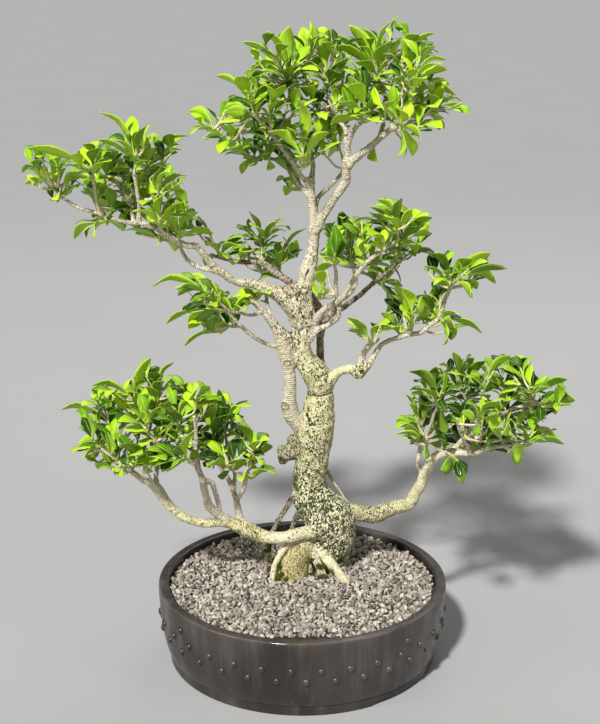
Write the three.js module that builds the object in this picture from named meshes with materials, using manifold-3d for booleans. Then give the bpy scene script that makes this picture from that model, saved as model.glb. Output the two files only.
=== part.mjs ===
// Chinese banyan bonsai: an old ficus with aerial roots and two low branches, in a round studded pot.
// Millimetres, +Z up. The origin is the centre of the pot's footprint, and +Y points to the back.

import * as THREE from 'three';
import { mergeVertices } from 'three/addons/utils/BufferGeometryUtils.js';
import Module from 'manifold-3d';

const wasm = await Module();
wasm.setup();

// Pot
const potRadius = 195;
const potHeight = 108;
const potSegments = 32;
const lipWidth = 14;
const innerTaper = 2;
const innerTaperHeight = 40;
const innerCorner = 10;
const footRadius = 181;
const footWidth = 13;
const footHeight = 14;
const floorUnderside = 8;
const floorTop = 16;
const footGapHeight = 5;
const footGapWidth = 111;
const footGapDepth = 50;
const footGapTurns = [48.5, 228.5];
const drainRadius = 9;
const drainCircle = 105;
const drainCount = 3;
const drainSides = 8;

// Studs on the pot's wall, turned from the front towards +X
const studRadius = 4.3;
const studRise = 2.2;
const studsPerRow = 32;
const studRows = [
  { height: 53, firstTurn: 1.4 },
  { height: 68, firstTurn: 7.0 },
];
const singleStudHeight = 84;
const singleStudTurns = [-54.6, 44, 125.4, 224];

// Soil
const soilEdgeHeight = 98;
const soilCrown = 5;
const soilRings = 6;
const gravelRelief = 2.2;
const fitGap = 0.45;

// Leaves and stems
const leafLength = 48;
const leafLengthSpread = 0.14;
const broadestLeafLength = 52.8;
const leafWidthRatio = 0.44;
const slimmestView = 0.25;
const deepestLean = 0.75;
const leafRange = [0.15, 0.97];
const leafThickness = 0.9;
const leafArch = 0.07;
const broadLeafWidth = 8;
const shootRadius = 1.7;
const shootTipRadius = 1.1;
const shootSides = 4;
const shootStep = 18;
const shootSag = 0.08;
const bentShootLength = 12;
const shortestShoot = 3;
const growthBias = 0.4;
const routeProbe = 4;
const shootSpacing = 8;
const shootDetour = 15;
const secondShootStart = 0.4;
const bends = [0, 11, -11, 22, -22, 33, -33];
const facetTolerances = [0.15, 0.12, 0.09, 0.06, 0.03, 0.01];
const weldNearness = 2e-3;

// Sides of a round of wood, by its mean radius, and the shortest step along it
const woodSides = [
  { above: 18, sides: 9 },
  { above: 8.5, sides: 7 },
  { above: 4.6, sides: 5 },
  { above: 0, sides: 4 },
];
const woodStep = 28;

// The eye point that the tree's routes are given from
const eye = { x: -3.1, y: -1800, z: 953 };
const eyePitch = THREE.MathUtils.degToRad(16.7);
const eyeFocal = 1444;
const viewCentre = { across: 300, down: 362 };
const viewStep = 1.3;

// Wood routes. A point is [across, down, depth behind the pot's centre, radius of the wood];
// across and down are in the eye's 600 by 724 view, depth and radius are millimetres.
const trunk = [
  [333, 584, 44, 15], [332, 562, 43, 21], [331, 546, 40, 28], [331, 531, 38, 34], [327, 518, 38, 35],
  [319, 506, 39, 30], [311, 494, 40, 25], [309, 480, 40, 22], [311, 467, 38, 21.5], [313, 450, 36, 23.5],
  [315, 430, 34, 24.5], [318, 413, 33, 21.5], [319, 404, 32, 19.5], [320, 391, 31, 16.5],
  [320, 380, 30, 19],
  [312, 369, 28, 17.5], [304, 358, 26, 13.5], [301, 342, 25, 12.5], [302, 328, 25, 14], [300, 314, 25, 16],
  [294, 302, 24, 15], [286, 296, 22, 12],
];
const leader = [
  [300, 314, 25, 12], [303, 303, 25, 10.5], [305, 290, 24, 10], [308, 272, 24, 11.5], [312, 255, 24, 8],
  [314, 240, 24, 6.5], [316, 226, 24, 6.2],
];
const upperLeftBranch = [
  [297, 305, 25, 12], [285, 297, 23, 12], [270, 290, 20, 9], [255, 284, 16, 6.6], [245, 283, 12, 5.8],
  [235, 281, 9, 5.3], [225, 275, 6, 5.2], [213, 265, 2, 5], [203, 254, -3, 4.6], [197, 246, -6, 4.3],
  [185, 245, -8, 3.9], [168, 236, -8, 3.7], [150, 225, -4, 3], [125, 222, 6, 2.7], [100, 214, 12, 2.5],
  [80, 208, 15, 2.1], [61, 197, 20, 1.8],
];
const lowerLeftBranch = [
  [322, 528, 20, 12], [311, 532, 8, 9], [300, 534, 2, 8.8], [280, 538, -4, 8.2], [262, 536, -6, 8.8],
  [250, 531, -6, 10.5], [240, 527, -6, 8.8], [225, 522, -6, 7.5], [205, 523, -8, 5.9], [190, 520, -10, 6],
  [178, 513, -12, 6.1], [167, 503, -14, 6.7], [160, 493, -16, 7.6], [155, 486, -18, 7.2],
  [146, 481, -20, 4.9],
  [137, 476, -22, 4], [127, 467, -24, 3.4], [117, 460, -26, 2.7], [100, 448, -30, 2],
];
const lowerRightBranch = [
  [334, 520, 40, 14], [352, 512, 44, 11], [365, 514, 45, 11], [377, 514, 45, 12], [390, 509, 44, 9.7],
  [402, 506, 42, 8.8], [410, 503, 41, 8.6], [415, 494, 40, 8.2], [420, 486, 38, 8], [425, 474, 36, 7.3],
  [431, 463, 34, 7], [437, 456, 32, 6.5], [447, 453, 28, 5.4], [460, 453, 24, 4.7], [475, 453, 20, 4],
  [490, 448, 16, 2.7], [505, 446, 12, 2.3], [526, 444, 8, 1.7],
];
const leftStem = [
  [309, 437, 32, 14], [303, 428, 28, 12], [292, 415, 24, 11], [289, 405, 22, 10.6], [290, 385, 20, 8],
  [288, 365, 20, 8.6], [285, 350, 20, 9.4], [283, 338, 20, 10], [283, 328, 20, 7],
];
const boughs = {
  leftStemArm: [
    [283, 342, 20, 7], [272, 322, 16, 5.8], [262, 310, 12, 4.6], [252, 301, 8, 3.2],
  ],
  leftStemTwig: [[272, 322, 16, 3], [268, 306, 24, 2.4], [266, 293, 30, 2]],
  leftStemThread: [[262, 312, 12, 2.6], [253, 315, 2, 2], [240, 313, -18, 1.8], [226, 311, -42, 1.6]],
  leftStemLowTwig: [
    [284, 346, 20, 4], [276, 346, 18, 2.9], [262, 342, 12, 2.6], [250, 334, 6, 2.5], [240, 325, -2, 2.4],
    [230, 314, -10, 2.3], [222, 305, -18, 1.9],
  ],
  upperLeftLowerArm: [
    [218, 270, 4, 4], [204, 269, 8, 2.8], [193, 264, 12, 2.6], [185, 257, 16, 2.5], [178, 242, 18, 2],
  ],
  upperLeftRise: [[139, 222, 0, 2.6], [139, 207, -6, 2.4], [137, 190, -12, 2.2], [134, 175, -18, 1.9]],
  upperLeftBackRise: [[134, 222, 2, 2.4], [128, 200, 16, 2.1], [113, 178, 30, 1.7]],
  upperLeftFrontRise: [[105, 216, 10, 2.4], [98, 203, -6, 2.2], [94, 182, -26, 1.8]],
  apexArmLeft: [
    [315, 232, 24, 6], [313, 215, 25, 5.3], [312, 200, 28, 5], [311, 187, 30, 4.7],
    [309, 179, 30, 3.8],
  ],
  apexTwigFarLeft: [
    [311, 186, 30, 4], [303, 178, 26, 3.3], [295, 165, 16, 3], [285, 152, 8, 2.9], [275, 138, -2, 2.6],
    [270, 129, -10, 2.2],
  ],
  apexTwigBackLeft: [[311, 184, 30, 3.6], [313, 166, 44, 3], [311, 150, 56, 2.3]],
  apexTwigLowLeft: [[310, 196, 29, 3.2], [298, 182, 42, 2.4], [291, 170, 54, 2.1], [284, 160, 64, 1.8]],
  apexArmRight: [
    [316, 228, 24, 6], [322, 218, 24, 5.8], [330, 205, 22, 5.6], [338, 193, 20, 5.5], [346, 181, 18, 5.3],
    [346, 170, 15, 5.2], [347, 160, 14, 4.8],
  ],
  apexRise: [
    [347, 164, 14, 4.7], [347, 150, 12, 4.6], [350, 138, 8, 4], [355, 128, 0, 3], [362, 122, -10, 2.4],
  ],
  apexTwigLeft: [
    [347, 152, 13, 3.6], [346, 138, 20, 3], [345, 128, 28, 2.8], [338, 120, 36, 2.7], [330, 112, 42, 2.6],
    [322, 104, 48, 2.1],
  ],
  apexTwigTall: [[334, 116, 39, 2.4], [330, 105, 50, 2.1], [328, 92, 58, 1.8]],
  apexBoughRight: [
    [347, 166, 14, 4.6], [356, 157, 10, 4.3], [368, 149, 4, 4.4], [380, 138, -2, 4.2], [392, 129, -6, 3.7],
    [403, 124, -10, 3.2], [413, 120, -12, 2.7], [423, 116, -14, 2.2], [435, 108, -18, 1.7],
  ],
  apexTwigBack: [
    [314, 212, 27, 3.6], [318, 198, 38, 3], [330, 186, 52, 2.6], [342, 172, 70, 2.3],
    [343, 158, 88, 1.9],
  ],
  apexTwigBrown: [[380, 138, 0, 3], [384, 118, 18, 2.4], [385, 98, 34, 2.1], [381, 83, 42, 1.7]],
  middleFront: [
    [309, 332, 26, 6], [313, 325, 20, 5.2], [322, 312, 8, 4.6], [333, 304, -4, 4.5], [341, 299, -12, 3.9],
    [350, 286, -20, 3.3], [356, 276, -24, 3], [365, 264, -30, 2.7], [386, 248, -40, 2.1],
    [398, 240, -44, 1.7],
  ],
  middleFork: [
    [304, 347, 26, 5], [309, 342, 18, 4], [318, 330, 11, 3.9], [330, 324, 5, 3.6], [338, 316, 1, 3.5],
    [339, 305, -4, 3.2], [336, 292, -10, 2.9], [336, 275, -16, 2.4], [335, 265, -20, 2],
  ],
  middleTwig: [[340, 300, -12, 3], [350, 293, 0, 2.6], [356, 283, 16, 2.3], [353, 268, 42, 1.9]],
  backRight: [
    [318, 379, 38, 6], [321, 365, 48, 5.6], [320, 350, 54, 5], [321, 333, 57, 5.2], [328, 316, 60, 5.8],
    [345, 306, 66, 3.9], [360, 295, 72, 3.4], [372, 284, 78, 3.1], [388, 272, 84, 2.6], [407, 254, 90, 1.8],
  ],
  backLeft: [
    [325, 322, 59, 6], [315, 303, 62, 6.5], [304, 290, 66, 6], [290, 282, 72, 5.2], [275, 272, 78, 4.6],
    [262, 263, 84, 3.9], [240, 262, 78, 3], [222, 258, 74, 2.4], [210, 254, 70, 1.9],
  ],
  rightSmall: [
    [322, 386, 30, 10], [331, 378, 26, 8], [340, 371, 22, 6.4], [350, 369, 16, 6], [359, 371, 12, 8.2],
    [367, 366, 8, 5], [374, 356, 4, 3.6], [380, 346, 2, 3.3], [386, 342, 0, 3.2], [400, 337, -4, 3.1],
    [412, 334, -6, 3], [422, 332, -8, 3], [430, 325, -10, 2.9], [437, 320, -12, 2.8], [441, 312, -14, 2.7],
    [444, 303, -16, 2.7], [448, 293, -19, 2.5], [455, 280, -24, 2],
  ],
  rightSmallStub: [[361, 370, 12, 6], [363, 354, 9, 4], [370, 345, 2, 4], [377, 339, -4, 3.8]],
  lowerLeftRiseA: [
    [246, 528, -4, 6], [240, 519, 4, 6], [238, 510, 10, 4.9], [236, 500, 14, 4.6], [233, 490, 18, 4.1],
    [229, 480, 22, 3.8], [222, 470, 28, 3.2], [217, 459, 32, 2.3],
  ],
  lowerLeftRiseB: [
    [228, 522, -6, 6], [218, 514, -14, 6], [208, 505, -22, 6], [206, 497, -26, 5.4], [204, 489, -30, 5],
    [202, 478, -34, 4.6], [198, 469, -38, 4], [195, 460, -42, 3.5], [195, 448, -46, 2.9],
    [196, 434, -50, 2.4],
    [194, 416, -58, 1.9],
  ],
  lowerLeftRiseC: [
    [157, 490, -16, 4.4], [156, 475, -6, 3.2], [158, 462, 6, 2.8], [153, 450, 18, 2.6], [150, 435, 28, 2.2],
    [151, 420, 38, 1.8],
  ],
  lowerLeftTwigFront: [
    [236, 500, 14, 3.6], [241, 494, 8, 3.2], [245, 484, 2, 3], [246, 472, -4, 2.7],
    [250, 462, -10, 2.1],
  ],
  lowerLeftTwigBack: [
    [233, 489, 19, 3], [235, 474, 30, 2.3], [230, 460, 40, 2.1], [227, 446, 50, 1.9],
    [225, 430, 58, 1.6],
  ],
  lowerLeftBrace: [
    [203, 480, -34, 3.6], [211, 482, -26, 3.2], [215, 492, -18, 3], [218, 503, -12, 2.9],
    [221, 515, -9, 3],
  ],
  lowerRightRiseBack: [[424, 480, 38, 4], [418, 464, 46, 3], [420, 450, 52, 2.8], [423, 437, 58, 2.2]],
  lowerRightRise: [
    [450, 454, 28, 3.8], [462, 440, 32, 3], [475, 426, 34, 2.8], [500, 415, 30, 2.6], [515, 408, 24, 2.3],
    [533, 405, 14, 1.8],
  ],
  lowerRightTwigFront: [
    [470, 453, 20, 2.8], [464, 440, 0, 2.3], [459, 428, -14, 2.1], [457, 418, -24, 1.7],
  ],
  lowerRightTwigInner: [[420, 450, 52, 2.6], [427, 434, 38, 2.3], [433, 418, 26, 2], [438, 404, 16, 1.7]],
  lowerRightTwigOuter: [[504, 446, 12, 2.1], [502, 430, 24, 1.9], [505, 417, 36, 1.6]],
};
const roots = {
  thinLeft: [
    [297, 536, 14, 6], [285, 548, 2, 4.4], [276, 562, -4, 4.2], [272, 580, -8, 4.2],
    [271, 604, -10, 3.4],
  ],
  frontCone: [
    [304, 534, 26, 14], [298, 552, 17, 18], [292, 566, 12, 22], [291, 582, 12, 24.5],
    [291, 606, 14, 20],
  ],
  inner: [[304, 540, 22, 6], [313, 557, 10, 4.4], [320, 570, 2, 4], [325, 592, 0, 3.4]],
  thickRight: [
    [316, 538, 26, 10], [322, 552, 14, 7.5], [333, 566, 2, 7], [346, 583, -8, 6.5], [358, 604, -14, 5],
  ],
  aerialLeft: [
    [300, 486, 32, 5], [291, 500, 26, 3.8], [281, 516, 22, 3.5], [273, 531, 20, 3.5], [269, 548, 18, 3.5],
    [266, 566, 16, 3.5], [265, 598, 16, 3.2],
  ],
  aerialInner: [
    [305, 504, 36, 6], [298, 514, 36, 4.5], [292, 530, 38, 4.4], [287, 548, 42, 4.4],
    [284, 582, 46, 4],
  ],
};
const aerialThread = [[321, 462, 46, 3], [332, 479, 54, 2], [342, 495, 54, 1.9], [353, 511, 47, 2.4]];
const burr = { place: [289, 452, 32], radius: 15 };

// Leafy sprays. Each shoot runs from base to tip, [across, down, depth]; its leaves end at
// [across, down, how broad the leaf looks], all in the eye's view.
const sprays = {
  apex_01: [
    {
      base: [256, 118, -30],
      tip: [250, 100, -40],
      leaves: [[238, 73, 14], [225, 108, 10], [240, 118, 10], [224, 112, 11]],
    },
    {
      base: [232, 140, -6],
      tip: [214, 128, -10],
      leaves: [[190, 110, 10], [190, 131, 5], [198, 107, 6], [201, 137, 6], [217, 121, 5]],
    },
  ],
  apex_02: [
    {
      base: [270, 124, -14],
      tip: [270, 104, -34],
      leaves: [[265, 80, 10], [250, 82, 8], [285, 84, 8], [262, 120, 8], [283, 98, 6]],
    },
  ],
  apex_03: [
    {
      base: [289, 95, 10],
      tip: [288, 72, 0],
      leaves: [[288, 26, 17], [262, 50, 16], [243, 40, 7], [268, 30, 9], [298, 62, 9]],
    },
    { base: [307, 84, 40], tip: [307, 62, 56], leaves: [[302, 27, 18], [316, 20, 12], [318, 58, 8]] },
  ],
  apex_04: [
    {
      base: [328, 87, 58],
      tip: [326, 72, 50],
      leaves: [[328, 28, 14], [338, 54, 12], [340, 68, 12], [316, 60, 6]],
    },
    { base: [343, 110, 72], tip: [343, 92, 92], leaves: [[338, 80, 14], [349, 84, 8], [330, 100, 7]] },
  ],
  apex_05: [
    {
      base: [306, 166, -14],
      tip: [303, 156, -40],
      leaves: [[272, 127, 10], [325, 130, 9], [297, 155, 8], [306, 130, 7], [302, 96, 12]],
    },
  ],
  apex_06: [
    {
      base: [362, 120, -16],
      tip: [366, 105, -44],
      leaves: [[350, 80, 16], [331, 121, 8], [340, 100, 9], [380, 100, 8], [349, 76, 10]],
    },
    { base: [383, 122, -34], tip: [385, 105, -66], leaves: [[372, 88, 10], [393, 100, 8], [380, 118, 8]] },
  ],
  apex_07: [
    {
      base: [382, 92, 38],
      tip: [377, 72, 40],
      leaves: [[350, 24, 14], [333, 42, 9], [356, 60, 9], [392, 12, 5], [390, 38, 12], [370, 27, 5]],
    },
    { base: [392, 90, 80], tip: [386, 64, 104], leaves: [[388, 42, 12], [400, 38, 10], [372, 52, 8]] },
  ],
  apex_08: [
    { base: [402, 98, -4], tip: [402, 60, -8], leaves: [[417, 30, 15], [405, 50, 12]] },
    { base: [412, 98, -46], tip: [415, 68, -62], leaves: [[434, 46, 11], [425, 75, 10]] },
  ],
  apex_09: [
    { base: [415, 106, 40], tip: [421, 88, 56], leaves: [[440, 78, 9], [448, 82, 6], [413, 84, 13]] },
  ],
  apex_10: [
    {
      base: [430, 112, -16],
      tip: [438, 106, -18],
      leaves: [[431, 90, 12], [467, 110, 4], [440, 117, 5], [441, 127, 6]],
    },
  ],
  apex_11: [
    { base: [400, 126, -50], tip: [402, 122, -76], leaves: [[424, 139, 8], [414, 154, 9], [400, 105, 10]] },
  ],
  apex_12: [
    {
      base: [340, 150, 96],
      tip: [335, 138, 112],
      leaves: [[327, 157, 8], [345, 130, 6], [318, 150, 5], [323, 130, 9]],
    },
  ],
  apex_13: [
    {
      base: [270, 158, 66],
      tip: [252, 157, 78],
      leaves: [[220, 150, 6], [240, 170, 6], [290, 172, 9], [270, 168, 5]],
    },
  ],
  upper_left_01: [
    {
      base: [62, 197, 20],
      tip: [56, 188, 20],
      leaves: [[25, 164, 9], [27, 179, 5], [63, 164, 11], [68, 178, 9]],
    },
  ],
  upper_left_02: [
    {
      base: [94, 182, -26],
      tip: [92, 168, -40],
      leaves: [[27, 147, 8], [83, 143, 16], [98, 145, 12], [66, 176, 5], [110, 158, 7]],
    },
  ],
  upper_left_03: [
    {
      base: [97, 208, 36],
      tip: [98, 203, 56],
      leaves: [[87, 185, 10], [107, 184, 11], [114, 203, 9], [100, 170, 9]],
    },
    { base: [106, 220, -6], tip: [97, 223, -26], leaves: [[73, 234, 5], [92, 235, 5], [123, 229, 5]] },
  ],
  upper_left_04: [
    {
      base: [134, 175, -18],
      tip: [136, 155, -22],
      leaves: [[105, 108, 6], [130, 115, 16], [145, 125, 8], [124, 134, 9], [99, 137, 5], [130, 155, 14]],
    },
  ],
  upper_left_05: [
    {
      base: [145, 172, 46],
      tip: [146, 160, 60],
      leaves: [[152, 147, 14], [188, 133, 5], [181, 147, 5], [174, 149, 7]],
    },
    { base: [138, 206, 60], tip: [136, 198, 80], leaves: [[122, 200, 8], [113, 188, 6], [150, 190, 7]] },
  ],
  upper_left_06: [
    {
      base: [158, 195, -44],
      tip: [158, 185, -62],
      leaves: [[185, 171, 6], [180, 188, 8], [170, 167, 5], [150, 180, 8]],
    },
  ],
  upper_left_07: [
    {
      base: [160, 228, -30],
      tip: [160, 220, -56],
      leaves: [[133, 209, 6], [150, 200, 9], [162, 192, 9], [168, 203, 8]],
    },
  ],
  upper_left_08: [
    { base: [178, 240, 18], tip: [178, 230, 20], leaves: [[198, 211, 12], [211, 229, 7], [196, 232, 5]] },
    { base: [166, 240, 44], tip: [160, 238, 62], leaves: [[136, 232, 8], [157, 245, 5], [175, 250, 6]] },
  ],
  middle_left_01: [
    {
      base: [262, 262, 86],
      tip: [262, 240, 92],
      leaves: [[251, 210, 6], [240, 225, 5], [252, 222, 7], [275, 228, 7]],
    },
  ],
  middle_left_02: [
    {
      base: [280, 272, 104],
      tip: [280, 260, 118],
      leaves: [[281, 250, 12], [298, 240, 14], [303, 226, 5], [270, 262, 8]],
    },
  ],
  middle_left_03: [
    {
      base: [220, 256, 72],
      tip: [216, 248, 68],
      leaves: [[208, 240, 10], [240, 237, 7], [241, 244, 8], [205, 262, 6]],
    },
    { base: [236, 262, 54], tip: [243, 256, 40], leaves: [[245, 243, 8], [252, 250, 7], [230, 262, 6]] },
  ],
  left_01: [
    {
      base: [222, 305, -20],
      tip: [208, 292, -30],
      leaves: [[153, 278, 6], [190, 275, 11], [216, 284, 8], [178, 293, 5], [198, 300, 6]],
    },
    { base: [233, 312, -12], tip: [235, 303, -8], leaves: [[231, 297, 6], [245, 308, 6], [220, 296, 7]] },
  ],
  left_02: [
    {
      base: [225, 311, -44],
      tip: [213, 308, -60],
      leaves: [[165, 322, 5], [188, 320, 5], [195, 320, 9], [210, 329, 6]],
    },
  ],
  left_03: [
    { base: [240, 327, 6], tip: [226, 326, 22], leaves: [[184, 345, 5], [220, 333, 5], [213, 324, 5]] },
  ],
  middle_right_01: [
    {
      base: [398, 240, -44],
      tip: [398, 225, -50],
      leaves: [[400, 198, 10], [383, 197, 5], [366, 204, 5], [372, 215, 5], [388, 214, 11], [414, 209, 7]],
    },
  ],
  middle_right_02: [
    {
      base: [400, 246, -2],
      tip: [404, 235, 10],
      leaves: [[432, 215, 11], [410, 216, 10], [420, 226, 10], [430, 234, 5]],
    },
  ],
  middle_right_03: [
    { base: [382, 250, -58], tip: [384, 240, -80], leaves: [[372, 228, 8], [395, 226, 9], [366, 245, 6]] },
  ],
  middle_right_04: [
    {
      base: [351, 262, 50],
      tip: [348, 245, 66],
      leaves: [[340, 211, 16], [327, 226, 7], [363, 222, 10], [327, 249, 8]],
    },
  ],
  middle_right_05: [
    { base: [335, 264, -22], tip: [335, 256, -38], leaves: [[320, 256, 5], [318, 272, 8], [345, 262, 7]] },
  ],
  middle_right_06: [
    { base: [400, 258, 90], tip: [407, 250, 100], leaves: [[415, 240, 6], [400, 262, 5], [388, 270, 6]] },
    {
      base: [376, 282, 92],
      tip: [382, 280, 108],
      leaves: [[400, 288, 6], [390, 298, 5], [397, 312, 5], [362, 273, 8]],
    },
  ],
  right_01: [
    { base: [372, 344, -8], tip: [369, 338, -22], leaves: [[348, 316, 8], [354, 328, 5], [386, 318, 5]] },
  ],
  right_02: [
    {
      base: [412, 330, -22],
      tip: [413, 315, -36],
      leaves: [[407, 286, 13], [424, 296, 9], [402, 307, 5], [428, 312, 5]],
    },
    { base: [400, 334, 10], tip: [399, 326, 30], leaves: [[386, 312, 7], [413, 322, 9], [412, 305, 5]] },
  ],
  right_03: [
    {
      base: [450, 290, -18],
      tip: [450, 276, -14],
      leaves: [
        [431, 249, 10], [447, 250, 13], [421, 264, 5], [437, 280, 6], [470, 256, 12], [490, 252, 13],
      ],
    },
  ],
  right_04: [
    { base: [456, 281, -34], tip: [463, 275, -48], leaves: [[505, 268, 7], [495, 277, 5], [472, 296, 8]] },
  ],
  right_05: [
    {
      base: [440, 318, -26],
      tip: [443, 321, -46],
      leaves: [[461, 312, 6], [483, 331, 5], [456, 326, 6], [455, 336, 5], [447, 345, 5]],
    },
  ],
  lower_left_01: [
    {
      base: [100, 448, -30],
      tip: [93, 440, -35],
      leaves: [[71, 450, 5], [82, 441, 8], [83, 457, 6], [80, 425, 6], [88, 415, 9]],
    },
  ],
  lower_left_02: [
    { base: [146, 468, -46], tip: [147, 460, -72], leaves: [[120, 443, 12], [147, 470, 6], [165, 455, 5]] },
    { base: [120, 464, -44], tip: [112, 454, -52], leaves: [[98, 468, 6], [110, 435, 8], [126, 452, 8]] },
  ],
  lower_left_03: [
    {
      base: [112, 432, 26],
      tip: [108, 418, 42],
      leaves: [[62, 403, 6], [76, 410, 5], [102, 391, 6], [103, 405, 10], [117, 386, 6]],
    },
  ],
  lower_left_04: [
    {
      base: [138, 420, -4],
      tip: [135, 400, -18],
      leaves: [[150, 357, 11], [94, 379, 6], [130, 386, 8], [120, 400, 9], [145, 390, 5]],
    },
  ],
  lower_left_05: [
    {
      base: [156, 412, 46],
      tip: [160, 395, 58],
      leaves: [[147, 385, 12], [169, 361, 5], [165, 377, 13], [178, 379, 6], [195, 388, 5]],
    },
  ],
  lower_left_06: [
    {
      base: [190, 462, -80],
      tip: [184, 456, -104],
      leaves: [[193, 430, 9], [197, 455, 8], [172, 448, 12], [167, 470, 5]],
    },
  ],
  lower_left_07: [
    {
      base: [217, 459, 32],
      tip: [213, 438, 28],
      leaves: [[214, 405, 14], [223, 390, 12], [228, 410, 8], [200, 440, 6], [222, 443, 6]],
    },
  ],
  lower_left_08: [
    {
      base: [232, 470, -14],
      tip: [228, 465, -40],
      leaves: [[208, 462, 10], [222, 478, 5], [240, 458, 7], [245, 463, 9]],
    },
  ],
  lower_left_09: [
    {
      base: [250, 461, -10],
      tip: [254, 449, -18],
      leaves: [[238, 423, 11], [245, 445, 13], [267, 437, 5], [272, 446, 9], [263, 461, 5]],
    },
  ],
  lower_left_10: [
    { base: [178, 432, -36], tip: [178, 420, -52], leaves: [[172, 410, 13], [175, 440, 9], [160, 432, 6]] },
    { base: [194, 412, -58], tip: [196, 396, -56], leaves: [[207, 386, 5], [195, 384, 5], [205, 402, 6]] },
  ],
  lower_right_01: [
    {
      base: [423, 437, 58],
      tip: [421, 425, 68],
      leaves: [[420, 387, 13], [428, 396, 9], [404, 389, 5], [400, 418, 9]],
    },
  ],
  lower_right_02: [
    {
      base: [427, 446, 2],
      tip: [424, 436, -34],
      leaves: [[395, 434, 5], [405, 428, 7], [412, 442, 9], [440, 446, 6], [425, 458, 6]],
    },
    { base: [450, 454, -14], tip: [457, 460, -42], leaves: [[464, 482, 12], [443, 470, 8]] },
  ],
  lower_right_03: [
    {
      base: [438, 404, 16],
      tip: [440, 396, 10],
      leaves: [[412, 367, 11], [445, 367, 6], [416, 386, 6], [441, 440, 10]],
    },
  ],
  lower_right_04: [
    {
      base: [466, 404, 62],
      tip: [462, 385, 78],
      leaves: [[454, 351, 10], [483, 358, 11], [470, 354, 5], [459, 392, 12]],
    },
    { base: [482, 398, 30], tip: [485, 380, 8], leaves: [[486, 366, 5], [510, 354, 8], [495, 385, 6]] },
  ],
  lower_right_05: [
    {
      base: [505, 404, 46],
      tip: [502, 385, 58],
      leaves: [[528, 358, 17], [490, 378, 7], [512, 385, 8], [547, 389, 5]],
    },
  ],
  lower_right_06: [
    { base: [533, 404, 8], tip: [542, 404, -18], leaves: [[576, 396, 14], [556, 412, 6]] },
    { base: [531, 400, 0], tip: [530, 386, -14], leaves: [[530, 362, 9], [566, 376, 9], [520, 372, 8]] },
  ],
  lower_right_07: [
    { base: [525, 444, 4], tip: [530, 442, -24], leaves: [[564, 441, 7], [517, 460, 10], [508, 452, 5]] },
    { base: [526, 430, 40], tip: [528, 420, 58], leaves: [[558, 437, 8], [545, 430, 5], [522, 430, 8]] },
  ],
  lower_right_08: [
    {
      base: [478, 424, -42],
      tip: [478, 415, -66],
      leaves: [[500, 400, 9], [462, 412, 9], [478, 432, 6], [518, 407, 12]],
    },
  ],
  lower_right_09: [
    {
      base: [478, 450, 64],
      tip: [482, 445, 86],
      leaves: [[486, 432, 9], [484, 451, 7], [464, 452, 9], [470, 436, 6]],
    },
  ],
};

// The point that the eye sees at a place in its view, at a given depth
function spot(across, down, depth) {
  const side = (across - viewCentre.across) / eyeFocal;
  const up = (viewCentre.down - down) / eyeFocal;
  const forward = Math.cos(eyePitch) + up * Math.sin(eyePitch);
  const rise = up * Math.cos(eyePitch) - Math.sin(eyePitch);
  const reach = (depth - eye.y) / forward;
  return new THREE.Vector3(eye.x + reach * side, depth, eye.z + reach * rise);
}

// An even number between 0 and 1 that a leaf's place in the view always gives
function chance(across, down, salt) {
  const mixed = Math.sin(across * 12.9898 + down * 78.233 + salt * 37.719) * 43758.5453;
  return mixed - Math.floor(mixed);
}

// Merges corners closer than nearness and leaves out triangles that the merge made flat
function weld(geometry, nearness = 1e-4) {
  const bare = geometry.clone();
  bare.deleteAttribute('normal');
  bare.deleteAttribute('uv');
  const merged = mergeVertices(bare, nearness);
  const corners = merged.index.array;
  const kept = [];
  for (let i = 0; i < corners.length; i += 3) {
    const [a, b, c] = [corners[i], corners[i + 1], corners[i + 2]];
    if (a !== b && b !== c && c !== a) {
      kept.push(a, b, c);
    }
  }
  merged.setIndex(kept);
  return merged;
}

function solidFrom(geometry, nearness) {
  const welded = weld(geometry, nearness);
  return new wasm.Manifold(new wasm.Mesh({
    numProp: 3,
    vertProperties: new Float32Array(welded.attributes.position.array),
    triVerts: new Uint32Array(welded.index.array),
  }));
}

function geometryFrom(solid) {
  const mesh = solid.getMesh();
  const geometry = new THREE.BufferGeometry();
  geometry.setAttribute('position', new THREE.BufferAttribute(new Float32Array(mesh.vertProperties), 3));
  geometry.setIndex(new THREE.BufferAttribute(new Uint32Array(mesh.triVerts), 1));
  return geometry;
}

function join(solids) {
  return solids.reduce((whole, piece) => whole.add(piece));
}

function largestBody(solid) {
  const bodies = solid.decompose();
  return bodies.reduce((largest, body) => (body.volume() > largest.volume() ? body : largest));
}

// True where each edge of the welded facets has exactly one facet on either side
function isClosed(geometry) {
  const corners = weld(geometry, weldNearness).index.array;
  const edges = new Set();
  for (let i = 0; i < corners.length; i += 3) {
    for (let k = 0; k < 3; k += 1) {
      edges.add(`${corners[i + k]} ${corners[i + ((k + 1) % 3)]}`);
    }
  }
  const paired = [...edges].every((edge) => edges.has(edge.split(' ').reverse().join(' ')));
  return edges.size === corners.length && paired;
}

// One body, with the facets that joining and cutting split merged again where they lie flat
function tidied(solid) {
  for (const tolerance of facetTolerances) {
    const simple = geometryFrom(solid.asOriginal().simplify(tolerance));
    if (isClosed(simple)) {
      const body = largestBody(solidFrom(simple, weldNearness));
      if (isClosed(geometryFrom(body))) {
        return body;
      }
    }
  }
  throw new Error('no facet tolerance closes this body');
}

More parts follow.
